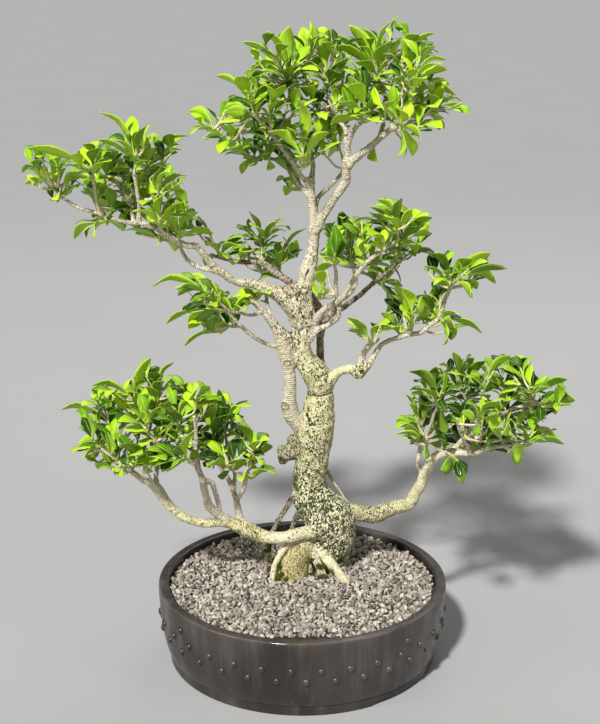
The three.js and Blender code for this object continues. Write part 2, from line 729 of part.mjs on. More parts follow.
// A tapered tube through points that carry a radius; grow widens it on every side
function tube(points, radii, sides, stepLength, grow = 0) {
  const curve = new THREE.CatmullRomCurve3(points, false, 'centripetal');
  const steps = Math.max(2, Math.round(curve.getLength() / stepLength));
  const outline = [];
  for (let i = 0; i < sides; i += 1) {
    const turn = (2 * Math.PI * i) / sides;
    outline.push(new THREE.Vector2(Math.cos(turn), Math.sin(turn)));
  }
  const geometry = new THREE.ExtrudeGeometry(new THREE.Shape(outline), {
    steps,
    extrudePath: curve,
    bevelEnabled: false,
  });
  const centres = curve.getSpacedPoints(steps);
  const position = geometry.attributes.position;
  const vertex = new THREE.Vector3();
  for (let i = 0; i < position.count; i += 1) {
    vertex.fromBufferAttribute(position, i);
    let nearest = 0;
    for (let ring = 1; ring <= steps; ring += 1) {
      if (vertex.distanceTo(centres[ring]) < vertex.distanceTo(centres[nearest])) {
        nearest = ring;
      }
    }
    const along = curve.getUtoTmapping(nearest / steps) * (points.length - 1);
    const before = Math.min(Math.floor(along), points.length - 2);
    const radius = THREE.MathUtils.lerp(radii[before], radii[before + 1], along - before) + grow;
    vertex.sub(centres[nearest]).multiplyScalar(radius).add(centres[nearest]);
    if (nearest === 0) {
      vertex.addScaledVector(curve.getTangent(0), -grow);
    }
    if (nearest === steps) {
      vertex.addScaledVector(curve.getTangent(1), grow);
    }
    position.setXYZ(i, vertex.x, vertex.y, vertex.z);
  }
  return solidFrom(geometry);
}

function routePoints(route) {
  return route.map(([across, down, depth]) => spot(across, down, depth));
}

function routeTube(route, grow) {
  const radii = route.map((point) => point[3]);
  const mean = radii.reduce((sum, radius) => sum + radius) / radii.length;
  const sides = woodSides.find((entry) => mean > entry.above).sides;
  return tube(routePoints(route), radii, sides, Math.max(mean, woodStep), grow);
}

const woodRoutes = [
  trunk, leader, upperLeftBranch, lowerLeftBranch, lowerRightBranch, leftStem, aerialThread,
  ...Object.values(boughs), ...Object.values(roots),
];

function burrSolid(grow) {
  const place = spot(...burr.place);
  const ball = new THREE.SphereGeometry(burr.radius + grow, 8, 6);
  return solidFrom(ball.translate(place.x, place.y, place.z));
}

// The wood, or with grow the room that everything beside it stays clear of
function woodSolid(grow) {
  const pieces = woodRoutes.map((route) => routeTube(route, grow));
  return join([...pieces, burrSolid(grow)]);
}

// Pot: one turned body with a foot ring, a rolled lip, drain holes and rows of small studs
const wallOutline = [
  [footRadius + 2.5, footHeight + 1.5], [188.5, 34], [192.8, 61], [potRadius, 100],
];

function wallRadius(height) {
  const above = wallOutline.findIndex((point) => point[1] >= height);
  const [lowRadius, lowHeight] = wallOutline[above - 1];
  const [highRadius, highHeight] = wallOutline[above];
  return THREE.MathUtils.mapLinear(height, lowHeight, highHeight, lowRadius, highRadius);
}

function turned(profile) {
  const points = profile.map(([radius, height]) => new THREE.Vector2(radius, height));
  const firstFacet = THREE.MathUtils.degToRad(studRows[0].firstTurn) + Math.PI / potSegments;
  return new THREE.LatheGeometry(points, potSegments).rotateX(Math.PI / 2).rotateZ(firstFacet);
}

function potBody() {
  const innerRadius = potRadius - lipWidth;
  return solidFrom(turned([
    [0, floorUnderside], [footRadius - footWidth, floorUnderside], [footRadius - footWidth, 0],
    [footRadius, 0], [footRadius, footHeight],
    ...wallOutline,
    [potRadius - 1.5, potHeight - 2.5], [potRadius - 5, potHeight],
    [innerRadius + 3.5, potHeight], [innerRadius, potHeight - 4],
    [innerRadius - innerTaper, innerTaperHeight], [innerRadius - innerCorner, floorTop], [0, floorTop],
  ]));
}

function stud(turnDegrees, height) {
  const turn = THREE.MathUtils.degToRad(turnDegrees);
  const radius = wallRadius(height);
  const dome = new THREE.CylinderGeometry(studRadius / 2, studRadius, 2 * studRise, 5).rotateX(Math.PI);
  dome.rotateZ(turn);
  return solidFrom(dome.translate(radius * Math.sin(turn), -radius * Math.cos(turn), height));
}

function potSolid() {
  const studs = singleStudTurns.map((turn) => stud(turn, singleStudHeight));
  for (const row of studRows) {
    for (let i = 0; i < studsPerRow; i += 1) {
      studs.push(stud(row.firstTurn + (360 * i) / studsPerRow, row.height));
    }
  }
  let pot = join([potBody(), ...studs]);
  for (const turnDegrees of footGapTurns) {
    const turn = THREE.MathUtils.degToRad(turnDegrees);
    const gap = new THREE.BoxGeometry(footGapWidth, footGapDepth, 2 * footGapHeight);
    gap.translate(0, -footRadius, 0).rotateZ(turn);
    pot = pot.subtract(solidFrom(gap));
  }
  for (let i = 0; i < drainCount; i += 1) {
    const hole = new THREE.CylinderGeometry(drainRadius, drainRadius, 4 * floorTop, drainSides);
    hole.rotateX(Math.PI / 2).translate(drainCircle, 0, 0);
    hole.rotateZ((2 * Math.PI * i) / drainCount + Math.PI / 4);
    pot = pot.subtract(solidFrom(hole));
  }
  return pot;
}

// Soil: fills the pot, with coarse gravel raised on its slightly crowned top
function soilSolid(rootRoom) {
  const innerRadius = potRadius - lipWidth - fitGap;
  const profile = [
    [0, floorTop + fitGap], [innerRadius - innerCorner, floorTop + fitGap],
    [innerRadius - innerTaper, innerTaperHeight],
  ];
  for (let ring = soilRings; ring >= 0; ring -= 1) {
    const share = ring / soilRings;
    profile.push([innerRadius * share, soilEdgeHeight + soilCrown * (1 - share ** 2)]);
  }
  const geometry = turned(profile);
  const position = geometry.attributes.position;
  for (let i = 0; i < position.count; i += 1) {
    const reach = Math.hypot(position.getX(i), position.getY(i));
    if (position.getZ(i) >= soilEdgeHeight - 0.1 && reach < innerRadius - 1) {
      const [across, down] = [Math.round(position.getX(i)), Math.round(position.getY(i))];
      position.setZ(i, position.getZ(i) + gravelRelief * (2 * chance(across, down, 1) - 1));
    }
  }
  return solidFrom(geometry).subtract(rootRoom);
}

// A folded, arched blade: pointed at both ends, broadest past its middle
function bladeGeometry(length, width, broad, grow) {
  const stations = broad ? [0, 0.38, 0.74, 1] : [0, 0.56, 1];
  const halfWidths = broad ? [0, 0.88, 0.9, 0] : [0, 1, 0];
  const sheet = new THREE.PlaneGeometry(2, 1, 1, stations.length - 1);
  const position = sheet.attributes.position;
  for (let i = 0; i < position.count; i += 1) {
    const row = Math.floor(i / 2);
    const column = -position.getX(i);
    const along = stations[row];
    const reach = halfWidths[row] * (width / 2 + grow);
    const rise = leafArch * length * 4 * along * (1 - along);
    position.setXYZ(i, column * reach, along * (length + grow), rise);
  }
  return thicken(weld(sheet), leafThickness + 2 * grow);
}

// Closes an open sheet into a solid of even thickness along Z
function thicken(sheet, thickness) {
  const points = sheet.attributes.position;
  const corners = Array.from(sheet.index.array);
  const count = points.count;
  const vertices = [];
  for (const side of [0.5, -0.5]) {
    for (let i = 0; i < count; i += 1) {
      vertices.push(points.getX(i), points.getY(i), points.getZ(i) + side * thickness);
    }
  }
  const edges = new Map();
  const triangles = [];
  for (let i = 0; i < corners.length; i += 3) {
    const triangle = corners.slice(i, i + 3);
    triangles.push(...triangle, triangle[2] + count, triangle[1] + count, triangle[0] + count);
    for (let k = 0; k < 3; k += 1) {
      edges.set(`${triangle[k]} ${triangle[(k + 1) % 3]}`, [triangle[k], triangle[(k + 1) % 3]]);
    }
  }
  for (const [from, to] of edges.values()) {
    if (!edges.has(`${to} ${from}`)) {
      triangles.push(from, from + count, to, to, from + count, to + count);
    }
  }
  const geometry = new THREE.BufferGeometry();
  geometry.setAttribute('position', new THREE.Float32BufferAttribute(vertices, 3));
  geometry.setIndex(triangles);
  return geometry;
}

// A leaf from its foot on the shoot to its tip, turned so that it looks as broad as it does to the eye
function leafSolid(foot, tip, breadth, grow) {
  const axis = tip.clone().sub(foot);
  const length = axis.length();
  axis.normalize();
  const sight = foot.clone().sub(new THREE.Vector3(eye.x, eye.y, eye.z)).normalize();
  const across = axis.clone().cross(sight).normalize();
  const facing = across.clone().cross(axis).normalize();
  const width = leafWidthRatio * Math.min(length, broadestLeafLength);
  const seen = THREE.MathUtils.clamp((breadth * viewStep) / width, slimmestView, 1);
  const roll = Math.acos(seen);
  const rolled = (side) => {
    const sideways = across.clone().multiplyScalar(side * Math.sin(roll));
    return sideways.addScaledVector(facing, Math.cos(roll));
  };
  const normal = [rolled(1), rolled(-1)].reduce((best, next) => (next.z > best.z ? next : best));
  if (normal.z < 0) {
    normal.negate();
  }
  const geometry = bladeGeometry(length, width, breadth >= broadLeafWidth, grow);
  const frame = new THREE.Matrix4().makeBasis(axis.clone().cross(normal), axis, normal);
  return solidFrom(geometry.applyMatrix4(frame.setPosition(foot)));
}

// Where a shoot leaves the wood: the nearest route point, sooner one that grows towards the shoot
// and one that no other shoot leaves
function nearestOn(routes, goal, taken) {
  let best = null;
  for (const points of routes) {
    const curve = new THREE.CatmullRomCurve3(points, false, 'centripetal');
    const steps = Math.ceil(curve.getLength() / routeProbe);
    for (let i = 0; i <= steps; i += 1) {
      const place = curve.getPointAt(i / steps);
      const away = goal.clone().sub(place);
      const crowded = taken.some((start) => start.distanceTo(place) < shootSpacing);
      const onward = growthBias * away.dot(curve.getTangentAt(i / steps));
      const cost = away.length() - onward + (crowded ? shootDetour : 0);
      if (best === null || cost < best.cost) {
        best = { cost, place };
      }
    }
  }
  return best.place;
}

function boxesMeet(one, other) {
  const [a, b] = [one.boundingBox(), other.boundingBox()];
  return [0, 1, 2].every((axis) => a.min[axis] <= b.max[axis] && b.min[axis] <= a.max[axis]);
}

function isClear(room, others) {
  return others.every((other) => !boxesMeet(room, other) || room.intersect(other).isEmpty());
}

// The points of a shoot from the wood or from an earlier shoot of its spray
function shootPoints(shoot, routes, taken) {
  const base = spot(...shoot.base);
  const tip = spot(...shoot.tip);
  const start = nearestOn(routes, base, taken);
  const points = [start];
  if (start.distanceTo(base) > bentShootLength) {
    const middle = start.clone().lerp(base, 0.5);
    points.push(middle.add(new THREE.Vector3(0, 0, -shootSag * start.distanceTo(base))));
  }
  if (start.distanceTo(base) > shortestShoot) {
    points.push(base);
  }
  points.push(tip);
  return points;
}

function shootTube(points, grow) {
  const last = points.length - 1;
  const radii = points.map((_, i) => THREE.MathUtils.lerp(shootRadius, shootTipRadius, i / last));
  const length = new THREE.CatmullRomCurve3(points, false, 'centripetal').getLength();
  return tube(points, radii, shootSides, Math.max(length / 3, shootStep), grow);
}

// The ends of one leaf: its foot on the shoot, and its tip bent back or forth by a few steps
function leafEnds(shoot, leaf, order, bend) {
  const base = spot(...shoot.base);
  const top = spot(...shoot.tip);
  const [across, down] = leaf;
  const run = top.clone().sub(base);
  const level = spot(across, down, top.y).sub(base);
  const along = (level.dot(run) / run.length() - leafLength / 2) / run.length();
  const foot = base.clone().lerp(top, THREE.MathUtils.clamp(along, ...leafRange));
  const flat = spot(across, down, foot.y).distanceTo(foot);
  const full = leafLength * (1 + leafLengthSpread * (2 * chance(across, down, 2) - 1));
  const depth = Math.min(Math.sqrt(Math.max(full ** 2 - flat ** 2, 0)), deepestLean * full);
  const side = order % 2 === 0 ? -1 : 1;
  return { foot, tip: spot(across, down, foot.y + side * depth + bend) };
}

const woodRoom = woodSolid(fitGap);
const wood = largestBody(woodSolid(0));
const rootRoom = join([trunk, ...Object.values(roots)].map((route) => routeTube(route, fitGap)));

// Shoots first, so that every leaf can be bent clear of all of them
const routeLines = woodRoutes.map(routePoints);
const shootStarts = [];
const planned = Object.entries(sprays).map(([name, shoots]) => {
  let firstShoot = null;
  const lines = shoots.map((shoot, i) => {
    const points = shootPoints(shoot, i === 0 ? routeLines : [firstShoot], i === 0 ? shootStarts : []);
    if (i === 0) {
      const [base, tip] = points.slice(-2);
      shootStarts.push(points[0]);
      firstShoot = [base.clone().lerp(tip, secondShootStart), tip];
    }
    return points;
  });
  return { name, shoots, lines };
});
const solids = new Map();
for (const { name, lines } of planned) {
  let stem = join(lines.map((points) => shootTube(points, 0))).subtract(woodRoom);
  for (const earlier of solids.values()) {
    if (boxesMeet(stem, earlier.room)) {
      stem = stem.subtract(earlier.room);
    }
  }
  const room = join(lines.map((points) => shootTube(points, fitGap)));
  solids.set(name, { body: largestBody(stem), room });
}

// Then the leaves; one that no bend clears is left out
for (const { name, shoots } of planned) {
  const own = solids.get(name);
  const others = [wood, ...[...solids].filter(([other]) => other !== name).map(([, entry]) => entry.body)];
  shoots.forEach((shoot, shootOrder) => {
    shoot.leaves.forEach((leaf, leafOrder) => {
      for (const bend of bends) {
        const ends = leafEnds(shoot, leaf, shootOrder + leafOrder, bend);
        if (isClear(leafSolid(ends.foot, ends.tip, leaf[2], fitGap), others)) {
          own.body = own.body.add(leafSolid(ends.foot, ends.tip, leaf[2], 0));
          return;
        }
      }
    });
  });
  own.body = largestBody(own.body);
}

// The model, one named mesh for each piece
const materials = {
  pot: new THREE.MeshStandardMaterial({ color: 0x2b2625, roughness: 0.55, metalness: 0.1 }),
  soil: new THREE.MeshStandardMaterial({ color: 0x8f867d, roughness: 0.95, metalness: 0 }),
  wood: new THREE.MeshStandardMaterial({ color: 0xb9ad8c, roughness: 0.85, metalness: 0 }),
  leaf: new THREE.MeshStandardMaterial({ color: 0x4f9a2c, roughness: 0.4, metalness: 0 }),
};

const group = new THREE.Group();

function addPiece(name, solid, material) {
  const geometry = geometryFrom(tidied(solid));
  geometry.computeVertexNormals();
  const mesh = new THREE.Mesh(geometry, material);
  mesh.name = name;
  group.add(mesh);
}

addPiece('pot', potSolid(), materials.pot);
addPiece('soil', soilSolid(rootRoom), materials.soil);
addPiece('tree_wood', wood, materials.wood);
for (const [name, { body }] of solids) {
  addPiece(`spray_${name}`, body, materials.leaf);
}

export default group;
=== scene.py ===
"""Looks of a chinese banyan bonsai: finer wood, leaves, gravel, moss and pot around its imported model.

Lengths are millimetres until a mesh is made; the frame is metres. The wood's routes and the sprays repeat
those of the part's source: a place is (across, down) in the eye's 600 by 724 view, with its depth behind
the pot's centre. A share is a number from 0 to 1.
"""

import math
from itertools import combinations, product

import bpy
import numpy as np
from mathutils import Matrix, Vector, noise
from mathutils.bvhtree import BVHTree


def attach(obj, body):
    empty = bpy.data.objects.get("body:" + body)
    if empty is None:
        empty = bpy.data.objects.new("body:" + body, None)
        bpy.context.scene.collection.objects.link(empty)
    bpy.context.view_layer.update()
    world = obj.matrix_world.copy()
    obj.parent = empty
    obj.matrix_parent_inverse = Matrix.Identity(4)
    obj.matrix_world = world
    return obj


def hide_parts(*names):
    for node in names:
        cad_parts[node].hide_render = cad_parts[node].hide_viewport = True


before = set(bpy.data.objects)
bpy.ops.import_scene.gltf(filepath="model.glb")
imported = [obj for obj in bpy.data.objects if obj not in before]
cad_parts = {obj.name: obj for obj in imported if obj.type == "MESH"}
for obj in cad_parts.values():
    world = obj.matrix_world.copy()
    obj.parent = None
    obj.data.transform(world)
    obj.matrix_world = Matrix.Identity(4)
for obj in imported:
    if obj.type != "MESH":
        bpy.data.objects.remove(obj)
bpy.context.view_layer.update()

MM = 0.001
UP = np.array([0.0, 0.0, 1.0])
TINY = 1e-9
SMALLEST_GAP = 1e-6
NEARLY_UPRIGHT = 0.9
EDGE_SLACK = 1.01
SPLINE_SAMPLES = 25
CHANCE_WEIGHTS = (12.9898, 78.233, 37.719)
CHANCE_SPREAD = 43758.5453

# The eye, which is also the camera, and what a pixel of its view spans at the trunk
EYE = np.array([-3.1, -1800.0, 953.0])
EYE_PITCH = math.radians(16.7)
EYE_FOCAL = 1444
VIEW_SIZE = (600, 724)
VIEW_CENTRE = (300, 362)
VIEW_STEP = 1.3
SENSOR = 36

# Pot
POT_RADIUS = 195
POT_HEIGHT = 108
LIP_WIDTH = 14
FOOT_RADIUS = 181
FOOT_WIDTH = 13
FOOT_HEIGHT = 14
FOOT_GAP_HEIGHT = 5
FOOT_GAP_WIDTH = 111
FOOT_GAP_TURNS = (48.5, 228.5)
FOOT_GAP_SLOPE = 0.8
FLOOR_UNDERSIDE = 8
FLOOR_TOP = 16
DRAIN_RADIUS = 9
DRAIN_CIRCLE = 105
DRAIN_COUNT = 3
DRAIN_TURN = math.pi / 4
DRAIN_RINGS = 4
DRAIN_SIDES = 48
POT_TURNS = 256
CORNER_STEPS = 6
SHARPEST_SMOOTH = math.radians(38)
# How far down and across the lip's outer edge is lightened, partly as wear and partly as painted highlight
RIM_WEAR_AND_HIGHLIGHT_HEIGHT = 3
RIM_WEAR_AND_HIGHLIGHT_WIDTH = (0.5, 2.5)
# Turned outlines: (radius, height, rounding of the corner)
WALL_OUTLINE = ((183.5, 15.5, 1.6), (188.5, 34, 4), (192.8, 61, 4), (195, 100, 3))
INNER_FOOT = FOOT_RADIUS - FOOT_WIDTH
INNER_LIP = POT_RADIUS - LIP_WIDTH
FLOOR_EDGE = INNER_FOOT - 30
POT_OUTLINE = (
    (INNER_FOOT, FLOOR_UNDERSIDE, 1.5), (INNER_FOOT, 0, 2), (FOOT_RADIUS, 0, 2),
    (FOOT_RADIUS - 0.8, FOOT_HEIGHT - 0.5, 0.6), *WALL_OUTLINE, (POT_RADIUS - 0.5, POT_HEIGHT, 2.4),
    (INNER_LIP, POT_HEIGHT, 2.6), (INNER_LIP - 2, 40, 6), (INNER_LIP - 10, FLOOR_TOP, 6),
    (INNER_LIP - 40, FLOOR_TOP, 0),
)
STUD_RADIUS = 4.9
STUD_RISE = 3.5
STUD_SINK = 0.3
STUD_SPREAD = 0.06
STUD_RINGS = 10
STUD_SIDES = 20
STUD_CROWN = 0.8
# How much a stud's crown is lightened, partly as wear and partly as painted highlight
STUD_WEAR_AND_HIGHLIGHT = 1.5
STUDS_PER_ROW = 32
STUD_ROWS = ((53, 1.4), (68, 7.0))
SINGLE_STUD_HEIGHT = 84
SINGLE_STUD_TURNS = (-54.6, 44, 125.4, 224)

# Gravel: each layer is the share of its places that hold a grain, and its height over the soil
GRAVEL_SEED = 7
GRAVEL_SPACING = 5.8
GRAVEL_SIZE = 3.6
GRAVEL_MARGIN = 1.5
RIM_CLEARANCE = 0.6
GRAVEL_JITTER = 0.32
GRAVEL_LIFT = 0.8
GRAVEL_LAYERS = ((1.0, 0.3), (0.3, 3.4))
ROW_SHARE = 0.87
ROOT_OVERLAP = 0.5
ROOT_LEVEL = 10
SOIL_EDGE_HEIGHT = 98
SOIL_CROWN = 5
GOLDEN_RATIO = 1.618
# A grain's size, breadth, height and bumps: from, to
GRAIN_SIZE = (0.72, 1.22)
GRAIN_LENGTH = 1.2
GRAIN_BREADTH = (0.6, 0.95)
GRAIN_HEIGHT = (0.45, 0.75)
GRAIN_ROUGHNESS = (-0.34, 0.26)

# Moss: a blade's radii and tip numbers are by its rings, tufts are (across, down, radius in millimetres)
MOSS_SEED = 11
MOSS_DENSITY = 2.2
MOSS_SIDES = 5
MOSS_RADII = (0.55, 0.6, 0.4, 0.08)
MOSS_TIPS = (0.1, 0.4, 0.75, 1.0)
MOSS_LENGTH = (2.2, 4.0)
MOSS_REACH = (0.2, 0.9)
MOSS_FLATTENING = (1, 0.6, 0.6)
MOSS_LEAN = 0.35
MOSS_TUFTS = (
    (266, 546, 6), (266, 552, 6), (262, 560, 5), (320, 566, 6), (326, 571, 6), (280, 567, 5),
    (281, 575, 6), (253, 522, 4), (246, 519, 3), (312, 560, 4), (315, 570, 5), (318, 574, 7),
    (323, 577, 7), (328, 580, 7), (320, 568, 6), (279, 580, 5), (262, 553, 6), (264, 548, 6),
    (312, 574, 5), (324, 573, 7), (259, 560, 5), (286, 579, 4),
)

# Leaves: stations run from the stalk to the tip
LEAF_LENGTH = 48
LEAF_LENGTH_SPREAD = 0.14
BROADEST_LEAF_LENGTH = 52.8
LEAF_WIDTH_RATIO = 0.41
TRACED_BREADTH = 0.92
SLIMMEST_VIEW = 0.25
DEEPEST_LEAN = 0.75
LEAF_RANGE = (0.15, 0.97)
LEAF_ARCH = 0.07
LEAF_THICKNESS = 0.5
# Where a leaf is broadest, how far it folds and how far its tip curls: (least, spread)
LEAF_PEAK = (0.52, 0.1)
LEAF_FOLD = (0.10, 0.38)
LEAF_CURL = (0.02, 0.15)
LEAF_SWAY = 0.06
LEAF_FULLNESS = 0.8
EDGE_ROLL = 0.12
RIPPLES = 1.6
RIPPLE_RISE = 0.035
FOLD_POWER = 1.3
CURL_START = 0.55
RIB_TAPER = 0.8
TIP_NARROWING = 0.25
TIP_START = 0.9
FOOT_BREADTH = (0.72, 0.28)
FOOT_END = 0.4
LEAF_STATIONS = (0, 0.07, 0.14, 0.22, 0.33, 0.46, 0.59, 0.72, 0.84, 0.94, 1)
STALK_STATIONS = 2
LEAF_COLUMNS = 5
LEAF_CLEARANCE = 2.5
WOOD_CLEARANCE = 0.6
WOOD_REACH = 2
PETIOLE_SHARE = 0.12
PETIOLE_RADIUS = 0.75
BENDS = (0, 11, -11, 22, -22, 33, -33)
# Shares that mix two numbers into a seed
TRACED_SEED = 0.37
WHORL_SEED = 0.61
TUFT_LEAF_SEED = 0.71

# Tints of traced leaves: (least, spread); a leaf whose entry has a fourth number is dark
DARK_TINT = (0.04, 0.2)
BRIGHT_TINT = (0.55, 0.45)
# How much younger a pad's leaves are than the others, which makes them paler
YOUTH = {"apex": 0.09, "upper_left": 0.09, "middle_right": -0.03, "right": -0.03, "lower_right": -0.15}

# Shoots
SHOOT_RADIUS = 1.7
SHOOT_TIP_RADIUS = 1.1
SHOOT_SAG = 0.04
SHOOT_STEP = 3.2
SHOOT_SIDES = 6
SHOOT_COLLAR = 1.6
BENT_SHOOT_LENGTH = 12
SHORTEST_SHOOT = 3
SHOOT_SPACING = 8
SHOOT_DETOUR = 15
SECOND_SHOOT_START = 0.4
GROWTH_BIAS = 0.4
ROUTE_PROBE = 4
NODE_SPACING = 7
NODE_RISE = 0.12
YOUNG_LENGTH = 34
BUD_LENGTH = 6
BUD_OUTLINE = (0.9, 1.25, 1.1, 0.6, 0.12)

# Leaves that fill a pad: whorls on a shoot are (leaves, how far they spread in degrees). Lean and size
# are (least, spread), tint is (least, spread, power).
GOLDEN_TURN = math.radians(137.5)
TIP_WHORLS = ((9, 55), (7, 75))
BASE_WHORL = (4, 60)
TUFT_WHORL = (7, 50)
WHORL_ASKEW = (0.31, 0.17, 0.93)
WHORL_LEAN = (0.75, 0.5)
WHORL_RISE = 0.15
FACING_SPREAD = 0.5
FACING_FRONT = 0.8
FILLING_SIZE = (0.42, 0.4)
FILLING_TINT = (0.02, 0.9, 1.2)

# The outline that leaves keep to, in cells of the eye's view
MASK_CLOSING = 10
MASK_BORDER = 2
MASK_SHARE = 0.84
HIDING_SHARE = 0.15
WOOD_IN_SIGHT = np.linspace(-0.9, 0.9, 7)
NEIGHBOURS = ((0, 1), (0, -1), (1, 0), (-1, 0))
DIAGONALS = ((1, 1), (1, -1), (-1, 1), (-1, -1))

# Tufts that grow towards bare places
DEEPEST_LEAF = 128
TUFT_SEED = 5
TUFT_TRIES = 3000
TUFT_NEIGHBOURS = 4
TUFT_SETBACK = 8
TUFT_DEPTH_SPREAD = 20
TUFT_RISE = 0.6
TUFT_DROP_COST = 1.3
TUFT_PROBE = 4
TUFT_ROOTS = np.linspace(0.1, 0.95, 8)
SHORTEST_TUFT = 12
LONGEST_TUFT = 72
TUFT_KNEE = 0.42
TUFT_SAG = 0.12
FEWEST_IN_TUFT = 2
TWIG_CLEARANCE = 2.0

# Wood: thick wood is one skin, thin wood is tubes
ROUTE_STEP = 2.0
SKIN_VOXEL = 1.67
SKIN_SMOOTHING = 4
SKIN_EASE = 0.5
SKIN_SIDES = 20
SKIN_SWELL = 1.01
SHORTEST_SKIN = 4
SKIN_OVERLAP = 2
COLLAR = 0.45
COLLAR_REACH = 1.6
THIN_WOOD = 3.1
THIN_STEP = 1.5
RUN_SLACK = 0.01
THIN_SIDES = 10
THIN_OVERLAP = 3
THIN_COLLAR = 0.5
THIN_WANDER = 0.7
THIN_WANDER_SIZE = 16
THIN_WANDER_START = 12
WANDER_APART = 40
KNOT_SPACING = 9
KNOT_RISE = 0.13
KNOT_LEVEL = 0.3
STYLE_BLUR = 2.5
CHUNK = 4000

# Relief of the bark: (height, size of its features) of each soft noise
BROAD_RELIEF = ((1.7, 24), (1.5, 11))
FINE_RELIEF = ((0.65, 5),)
LUMP_RELIEF = ((1.6, 9), (1.0, 4))
OLD_RISE = 0.75
OLD_SIZE = 3.2
OLD_SPECKLE = (0.3, 0.9)
THIN_RELIEF = ((0.22, 3.2), (0.12, 1.7))
FULL_RELIEF_RADIUS = 18
LEAST_RELIEF = 0.42
RING_RISE = 0.34
RING_SPACING = 5.5
RING_WANDER = 0.7
RING_WANDER_SIZE = 14
GROOVE_DEPTH = 1.5
SCAR_RIM = 1.4
SCAR_DEPTH = 0.9
SCAR_RIM_SHARPNESS = 2.2
SCAR_BOWL = (0.5, 0.8)
HOLE_DEPTH = 2.5
HOLE_BOWL = (0.1, 0.8)
HOLE_SHADE = (0.1, 0.5)
CREVICE_DEPTH = (0.7, 1.3)
CREVICE_BREAKS = 5
CREVICE_WIDTH = 1.3
LUMP_FADE = 4
TOP_OF_LUMPS = 13.5

# Marks on the bark, where the eye sees them: (across, down, radius in pixels)
SCARS = ((321, 455, 4.5), (287, 288, 6.5), (287, 363, 4.5), (285, 406, 5.5))
# Holes are sunk, and painted dark as shade
HOLES = ((290, 332, 3), (307, 415, 3.6), (309, 420, 3), (362, 372, 3.2), (297, 262, 2), (304, 317, 2.2),
         (311, 313, 2), (322, 402, 1.2), (308, 409, 2.6), (297, 299, 2))
MOSS_MARKS = ((268, 548, 9), (268, 558, 8), (324, 566, 8), (332, 572, 7), (280, 567, 6), (253, 522, 8),
              (296, 478, 8), (296, 486, 7), (340, 560, 8), (305, 505, 5))
# Creases in the bark, where the eye sees them; they are sunk, and painted dark as shade
CREVICES = (
    ((314, 262), (308, 272), (303, 284), (298, 297)), ((284, 291), (289, 301), (299, 308), (303, 321)),
    ((292, 276), (291, 285), (296, 296)), ((300, 310), (304, 318), (313, 322)),
    ((306, 392), (312, 394), (320, 394), (327, 392), (332, 389)),
    ((307, 423), (316, 425), (328, 424)), ((309, 425), (320, 427)),
    ((300, 514), (312, 508), (325, 500)), ((305, 523), (318, 524), (330, 520)),
    ((297, 437), (300, 448), (299, 460)), ((295, 438), (298, 430)),
    ((280, 284), (283, 290), (290, 296), (294, 306), (296, 314)), ((307, 300), (310, 308), (314, 316)),
    ((303, 282), (309, 267)), ((288, 303), (291, 312), (297, 322)), ((312, 318), (316, 322), (322, 320)),
    ((291, 334), (293, 342), (297, 350)), ((296, 352), (299, 362), (304, 370)),
)
# The mark of a tie round the trunk: (across, down, depth), its tilt and its width; its groove is sunk and
# painted dark as shade
GIRDLE = (320, 392, 31)
GIRDLE_TILT = 0.1
GIRDLE_WIDTH = 1.1

# Colours, as linear red, green and blue; the stops of a ramp are (place, colour)
LEAF_AGES = ((0.0, (0.006, 0.032, 0.002)), (0.25, (0.035, 0.120, 0.003)), (0.5, (0.21, 0.405, 0.004)),
             (0.78, (0.385, 0.60, 0.008)), (1.0, (0.46, 0.67, 0.016)))
LEAF_VEIN = (0.40, 0.56, 0.05)
LEAF_RIB = (0.52, 0.66, 0.16)
LEAF_EDGE = (0.50, 0.62, 0.18)
LEAF_STALK = (0.48, 0.58, 0.12)
LEAF_UNDERSIDE = (0.30, 0.49, 0.045)
SHOOT_AGES = ((0.0, (0.70, 0.59, 0.44)), (0.35, (0.64, 0.57, 0.33)), (0.6, (0.50, 0.58, 0.17)),
              (1.0, (0.50, 0.64, 0.11)))
SHOOT_GRAIN = (0.16, 0.11, 0.06)
BEIGE_CREAM = (0.77, 0.69, 0.55)
YELLOW_CREAM = (0.72, 0.685, 0.40)
GREEN_CREAM = (0.77, 0.78, 0.51)
BROWN_DIRT = (0.17, 0.115, 0.075)
OLIVE_DIRT = (0.10, 0.095, 0.03)
BROWN_MARK = (0.070, 0.047, 0.03)
GREEN_MARK = (0.013, 0.016, 0.002)
MARK_HALO = (0.36, 0.37, 0.12)
OCHRE_ROOT = (0.50, 0.40, 0.19)
BROWN_BARK = (0.15, 0.10, 0.075)
OLIVE_CLOUD = (0.44, 0.40, 0.18)
OLIVE_PATCH = (0.33, 0.33, 0.085)
RING_LINE = (0.17, 0.125, 0.09)
PALE_FLAKE = (0.66, 0.57, 0.47)
SCAR_SHADES = ((0.08, (0.70, 0.62, 0.45)), (0.28, (0.22, 0.16, 0.10)), (0.42, (0.27, 0.20, 0.12)),
               (0.56, (0.56, 0.47, 0.29)), (0.9, (0.26, 0.20, 0.12)))
HOLLOW_SHADE = (0.030, 0.025, 0.012)
BARK_MOSS = ((0.35, (0.008, 0.018, 0.003)), (0.65, (0.085, 0.13, 0.015)))
STONE_SHADES = ((0.0, (0.11, 0.093, 0.072)), (0.3, (0.30, 0.263, 0.213)), (0.75, (0.47, 0.42, 0.347)),
                (1.0, (0.64, 0.58, 0.49)))
STONE_GRIT = (0.10, 0.085, 0.075)
# The soil is darkened further as painted shade between the grains
SOIL_WITH_GAP_SHADE = ((0.35, (0.012, 0.010, 0.008)), (0.7, (0.07, 0.058, 0.046)))
POT_SHADES = ((0.006, 0.0045, 0.0038), (0.026, 0.019, 0.016))
